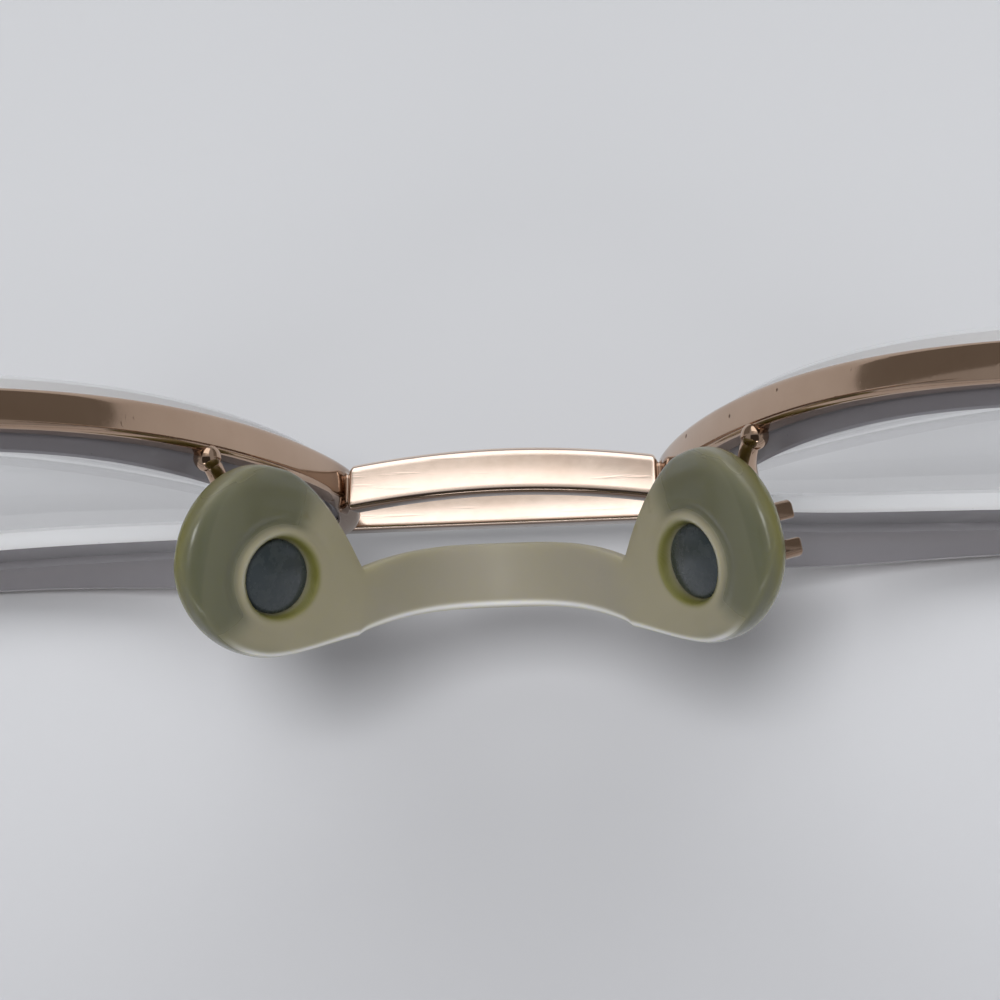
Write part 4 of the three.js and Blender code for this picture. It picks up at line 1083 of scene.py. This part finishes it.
# Leaf: a plate beside the endpiece or temple, with a web and a bored, rounded barrel for each knuckle
def leafShells(ahead, knuckles, plateHeight):
    radius, thick, long, leafEdge = pick(hinge, "knuckleRadius leafThickness leafLength leafEdge")
    plateX = radius - thick / 2
    clear = radius + hinge["knuckleGap"]
    plan = roundedRectangle(thick, long, leafEdge, 3) + [plateX, ahead * (clear + long / 2)]
    shells = [roundedBlock(plan, -plateHeight / 2, plateHeight / 2, leafEdge)]
    bore = hinge["screwRadius"] + hinge["boreGap"]
    webEnd = clear + hinge["webReach"]
    web = roundedRectangle(thick, webEnd - bore, hinge["webEdge"], 2) + [plateX, ahead * (webEnd + bore) / 2]
    half = hinge["knuckleHeight"] / 2
    webHalf = half - hinge["webInset"]
    inset, lift = quarterRound(hinge["edge"])
    for height in knuckles:
        shells.append(roundedBlock(web, height - webHalf, height + webHalf, hinge["webEdge"]))
        low = np.stack([radius - inset, height - half + lift], -1)
        high = np.stack([radius - inset, height + half - lift], -1)[::-1]
        wall = [(bore, height + half), (bore, height - half)]
        shells.append(ringShell(turned(np.vstack([low, high, wall])), closed=True))
    return shells


# Front leaf with two knuckles, temple leaf with one between them, and the screw through all three
def makeHinge(side):
    leaves = (("Front", "front", leafShells(1, (-knucklePitch, knucklePitch), hingeHeight)),
              ("Temple", templeBodies[side], leafShells(-1, (0,), hinge["knuckleHeight"])))
    for label, body, shells in leaves:
        node = f"{label.lower()}_hinge_leaf"
        sidePiece(side, f"{label}Leaf", shells, placeHinge, goldFinish, node, "gold", body=body)
    rings = slottedScrew(hinge, hingeHeight + hinge["screwSpare"])
    rings[..., 2] = hingeHeight / 2 + screwShape["seat"] - rings[..., 2]
    sidePiece(side, "HingeScrew", [ringShell(rings)], placeHinge, screwFinish, "hinge_screw", "screw")


# Endpiece: a rounded bar carried along a straight run, a quarter bend and a straight root into the rim
def makeEndpiece(side):
    radius, length = endpiece["turn"], endpiece["length"]
    turn = np.linspace(0, np.pi / 2, 24)
    centre = np.array([templeMiddle - radius, length - radius])
    bend = centre + radius * np.stack([np.cos(turn), np.sin(turn)], -1)
    straight = [(templeMiddle, endpiece["butt"]), (templeMiddle, endpiece["straight"])]
    path = np.vstack([straight, bend, [(-endpiece["reach"] - endpiece["root"], length)]])
    angle = np.concatenate([[0, 0], turn, [np.pi / 2]])
    section = roundedRectangle(temple["thickness"], endpiece["height"], endpiece["edge"])
    c, s = np.cos(angle)[:, None], np.sin(angle)[:, None]
    rings = stackRings(path[:, :1] + c * section[:, 0], path[:, 1:] + s * section[:, 0], section[:, 1])
    sidePiece(side, "Corner", [ringShell(rings)], placeHinge, goldFinish, "endpiece", "gold")


# Temple: a rounded strip that narrows in height from the hinge to the tip
def makeTemple(side):
    thick, tall, taper, start, edge = pick(temple, "thickness height taper tipStart buttEdge")
    butt = endpiece["butt"]
    back = np.concatenate([[butt, butt + edge], np.linspace(1, start + 1, 60)])
    height = blend(tall, temple["endHeight"], np.clip((back - taper) / (start - taper), 0, 1))
    inset = np.where(back == butt, edge, 0.0)
    section = roundedRectangle(thick, tall, temple["edge"])
    x = templeMiddle + section[:, 0] * (1 - inset / thick * 2)[:, None]
    rings = stackRings(x, -back[:, None], section[:, 1] * (height / tall - inset / tall * 2)[:, None])
    body = templeBodies[side]
    sidePiece(side, "TempleStrip", [ringShell(rings)], placeHinge, goldFinish, "temple", "gold", body=body)


# Tip: an oval sleeve that runs straight, bends down behind the ear and widens to a rounded tail
def makeTip(side):
    bendStart, bendRadius, bendAngle, edge = pick(temple, "bendStart bendRadius bendAngle mouthEdge")
    mouth = temple["tipStart"] + temple["mouthGap"]
    tailStart = bendStart + bendRadius * bendAngle
    total = tailStart + temple["tail"]
    nose = temple["tailHeight"] / 2
    distance = np.concatenate([
        [mouth, mouth + 0.06, mouth + 0.2, mouth + 0.5], np.linspace(mouth + 1, total - nose, 110),
        total - nose + nose * np.sin(np.linspace(0, 1, 30)[1:] * math.radians(88)),
    ])
    turn = np.clip((distance - bendStart) / bendRadius, 0, bendAngle)
    tail = np.maximum(0, distance - tailStart)
    back = np.minimum(distance, bendStart) + bendRadius * np.sin(turn) + tail * np.cos(turn)
    down = bendRadius * (1 - np.cos(turn)) + tail * np.sin(turn)
    rounding = np.sqrt(np.maximum(0, 1 - np.maximum(0, (distance - total + nose) / nose) ** 2))
    soft = 1 - edge * bell(distance, mouth, edge)
    height = blend(temple["mouthHeight"], temple["tailHeight"], smoothStep(bendStart, total, distance))
    halfHeight = height / 2 * rounding * soft
    halfWidth = temple["tipThickness"] / 2 * np.sqrt(rounding) * soft
    oval = ovalSection(1.0, 1.0, 48, 0.85)
    x, rise = templeMiddle + halfWidth[:, None] * oval[:, 0], halfHeight[:, None] * oval[:, 1]
    c, s = np.cos(turn)[:, None], np.sin(turn)[:, None]
    rings = stackRings(x, -back[:, None] - s * rise, -down[:, None] + c * rise)
    body = templeBodies[side]
    sidePiece(side, "EarTip", [ringShell(rings)], placeHinge, tipFinish, "temple_tip", "acetate", body=body)


for side in sides:
    makeClosing(side)
    makeHinge(side)
    makeEndpiece(side)
    makeTemple(side)
    makeTip(side)
print("closing blocks, hinges and temples made")


# Floor, light and camera

stageLook = {
    "floor": (0.64, 0.65, 0.675), "shade": (0.53, 0.535, 0.56), "world": (0.36, 0.365, 0.38),
    "ambient": (0.19, 0.192, 0.197), "card": (0.18, 0.17, 0.16), "paleCard": (0.70, 0.68, 0.66),
    "paleCardRight": (0.385, 0.365, 0.345), "rearCard": (0.05, 0.045, 0.04),
    "floorHalf": 3.0, "floorChange": (0.035, 0.095), "cardChange": (-0.19, -0.03),
}


# Flat sheet of four corners with its material
def stageSheet(name, corners, material):
    mesh = bpy.data.meshes.new(name)
    mesh.from_pydata([tuple(corner) for corner in corners], [], [(0, 1, 2, 3)])
    mesh.materials.append(material)
    sheet = addObject(name, mesh)
    return sheet


# Pale floor that falls off a little towards the rear
def makeFloor():
    material, tree, inputs = newMaterial("paleFloor", stageLook["floor"], 0.55)
    share = addRamp(tree, coordinate(tree, 1), *stageLook["floorChange"])
    tone = mixColor(tree, share, stageLook["shade"], stageLook["floor"])
    setInputs(tree, inputs, {"Base Color": tone, "Specular IOR Level": 0.25})
    half = stageLook["floorHalf"]
    stageSheet("floor", [(-half, -half, 0), (half, -half, 0), (half, half, 0), (-half, half, 0)], material)


# Plain glowing sheet that only polished metal and glass see, with another tone to its right where one is given
def addCard(name, corners, tone, rightTone=None):
    material, tree, inputs = newMaterial(name, (0, 0, 0), 1.0)
    setInputs(tree, inputs, {"Emission Color": (*tone, 1), "Emission Strength": 1.0, "Specular IOR Level": 0.0})
    if rightTone:
        share = addRamp(tree, coordinate(tree, 0), *stageLook["cardChange"])
        setInputs(tree, inputs, {"Emission Color": mixColor(tree, share, rightTone, tone)})
    card = stageSheet(name, corners, material)
    card.visible_camera = card.visible_diffuse = card.visible_shadow = False


# Dark cards that stand at the sides and lean over from the rear, and a pale one overhead before the window
def makeCards():
    y = frontOrigin[1] * mm
    standing = ((0.03, 0.0), (0.9, 0.0), (0.9, 0.3), (0.03, 0.3))
    for side, x in (("right", -0.2), ("left", 0.5)):
        addCard(f"{side}Card", [(x, y + ahead, high) for ahead, high in standing], stageLook["card"])
    leaning = ((-0.5, -0.75, 0.36), (0.5, -0.75, 0.36), (0.5, -0.16, 0.82), (-0.5, -0.16, 0.82))
    addCard("rearCard", [(x, y + ahead, high) for x, ahead, high in leaning], stageLook["rearCard"])
    overhead = ((-0.35, -0.03), (0.35, -0.03), (0.35, 0.19), (-0.35, 0.34))
    corners = [(x, y + ahead, 0.9) for x, ahead in overhead]
    addCard("paleCard", corners, stageLook["paleCard"], stageLook["paleCardRight"])


# Puts a lamp or camera at a place, on axes that are its right, its up and its back
def setHolder(holder, right, up, back, place):
    turn = np.stack([right, up, back], -1)
    holder.matrix_world = Matrix([[*turn[k], place[k]] for k in range(3)] + [[0, 0, 0, 1]])


# Lamp of a width and a height that looks at a target, with its right side level
def addSoftbox(name, location, target, width, height, power):
    lamp = bpy.data.lights.new(name, "AREA")
    lamp.shape = "RECTANGLE"
    lamp.size = width
    lamp.size_y = height
    lamp.energy = power
    holder = addObject(name, lamp)
    back = unit(location - target)
    right = unit(np.cross(upAxis, back))
    setHolder(holder, right, np.cross(back, right), back, location)
    return holder


# World that is dimmer to diffuse rays, and three lamps round the middle of the front
def makeLight():
    world = bpy.data.worlds.new("studio")
    world.use_nodes = True
    tree = world.node_tree
    diffuse = addNode(tree, "ShaderNodeLightPath").outputs["Is Diffuse Ray"]
    tone = mixColor(tree, diffuse, stageLook["world"], stageLook["ambient"])
    setInputs(tree, tree.nodes["Background"].inputs, {"Color": tone})
    bpy.context.scene.world = world
    middle = frontOrigin * mm
    addSoftbox("windowKey", middle + [0.0, 0.643, 0.766], middle, 0.8, 1.0, 3.1)
    fill = addSoftbox("ceilingFill", middle + 1.2 * lensward, middle, 0.24, 0.24, 8.4)
    fill.visible_glossy = False  # lights the surfaces without a second glare on the metal
    addSoftbox("rearStrip", middle + [0.0, -0.9, 0.35], middle, 0.8, 0.12, 0.8)


shot = {
    "tip": math.radians(8.3), "swing": math.radians(5.6), "roll": math.radians(2.2),
    "distance": 170.0, "pixelsPerMm": 20.3, "across": -0.15, "along": -1.1, "sensor": 36.0, "pixels": 1000,
}


# Two axes turned towards each other by an angle
def turnPair(first, second, angle):
    c, s = math.cos(angle), math.sin(angle)
    return c * first - s * second, s * first + c * second


# Camera behind and above the bridge: the front's axes turned by the tip, the swing and the roll, at a lens length
# that gives the scale
def makeCamera():
    level, up = turnPair(lensward, forward, shot["tip"])
    right, toCamera = turnPair(sideways, level, shot["swing"])
    right, up = turnPair(right, up, shot["roll"])
    target = frontOrigin + shot["across"] * right + shot["along"] * up
    camera = bpy.data.cameras.new("photoCamera")
    camera.sensor_width = shot["sensor"]
    camera.lens = shot["sensor"] * shot["pixelsPerMm"] * shot["distance"] / shot["pixels"]
    camera.clip_start = 0.005
    holder = addObject("photoCamera", camera)
    setHolder(holder, right, up, toCamera, (target + shot["distance"] * toCamera) * mm)
    bpy.context.scene.camera = holder


makeFloor()
makeCards()
makeLight()
makeCamera()
bpy.context.scene.view_settings.view_transform = "Standard"
print("stage ready")
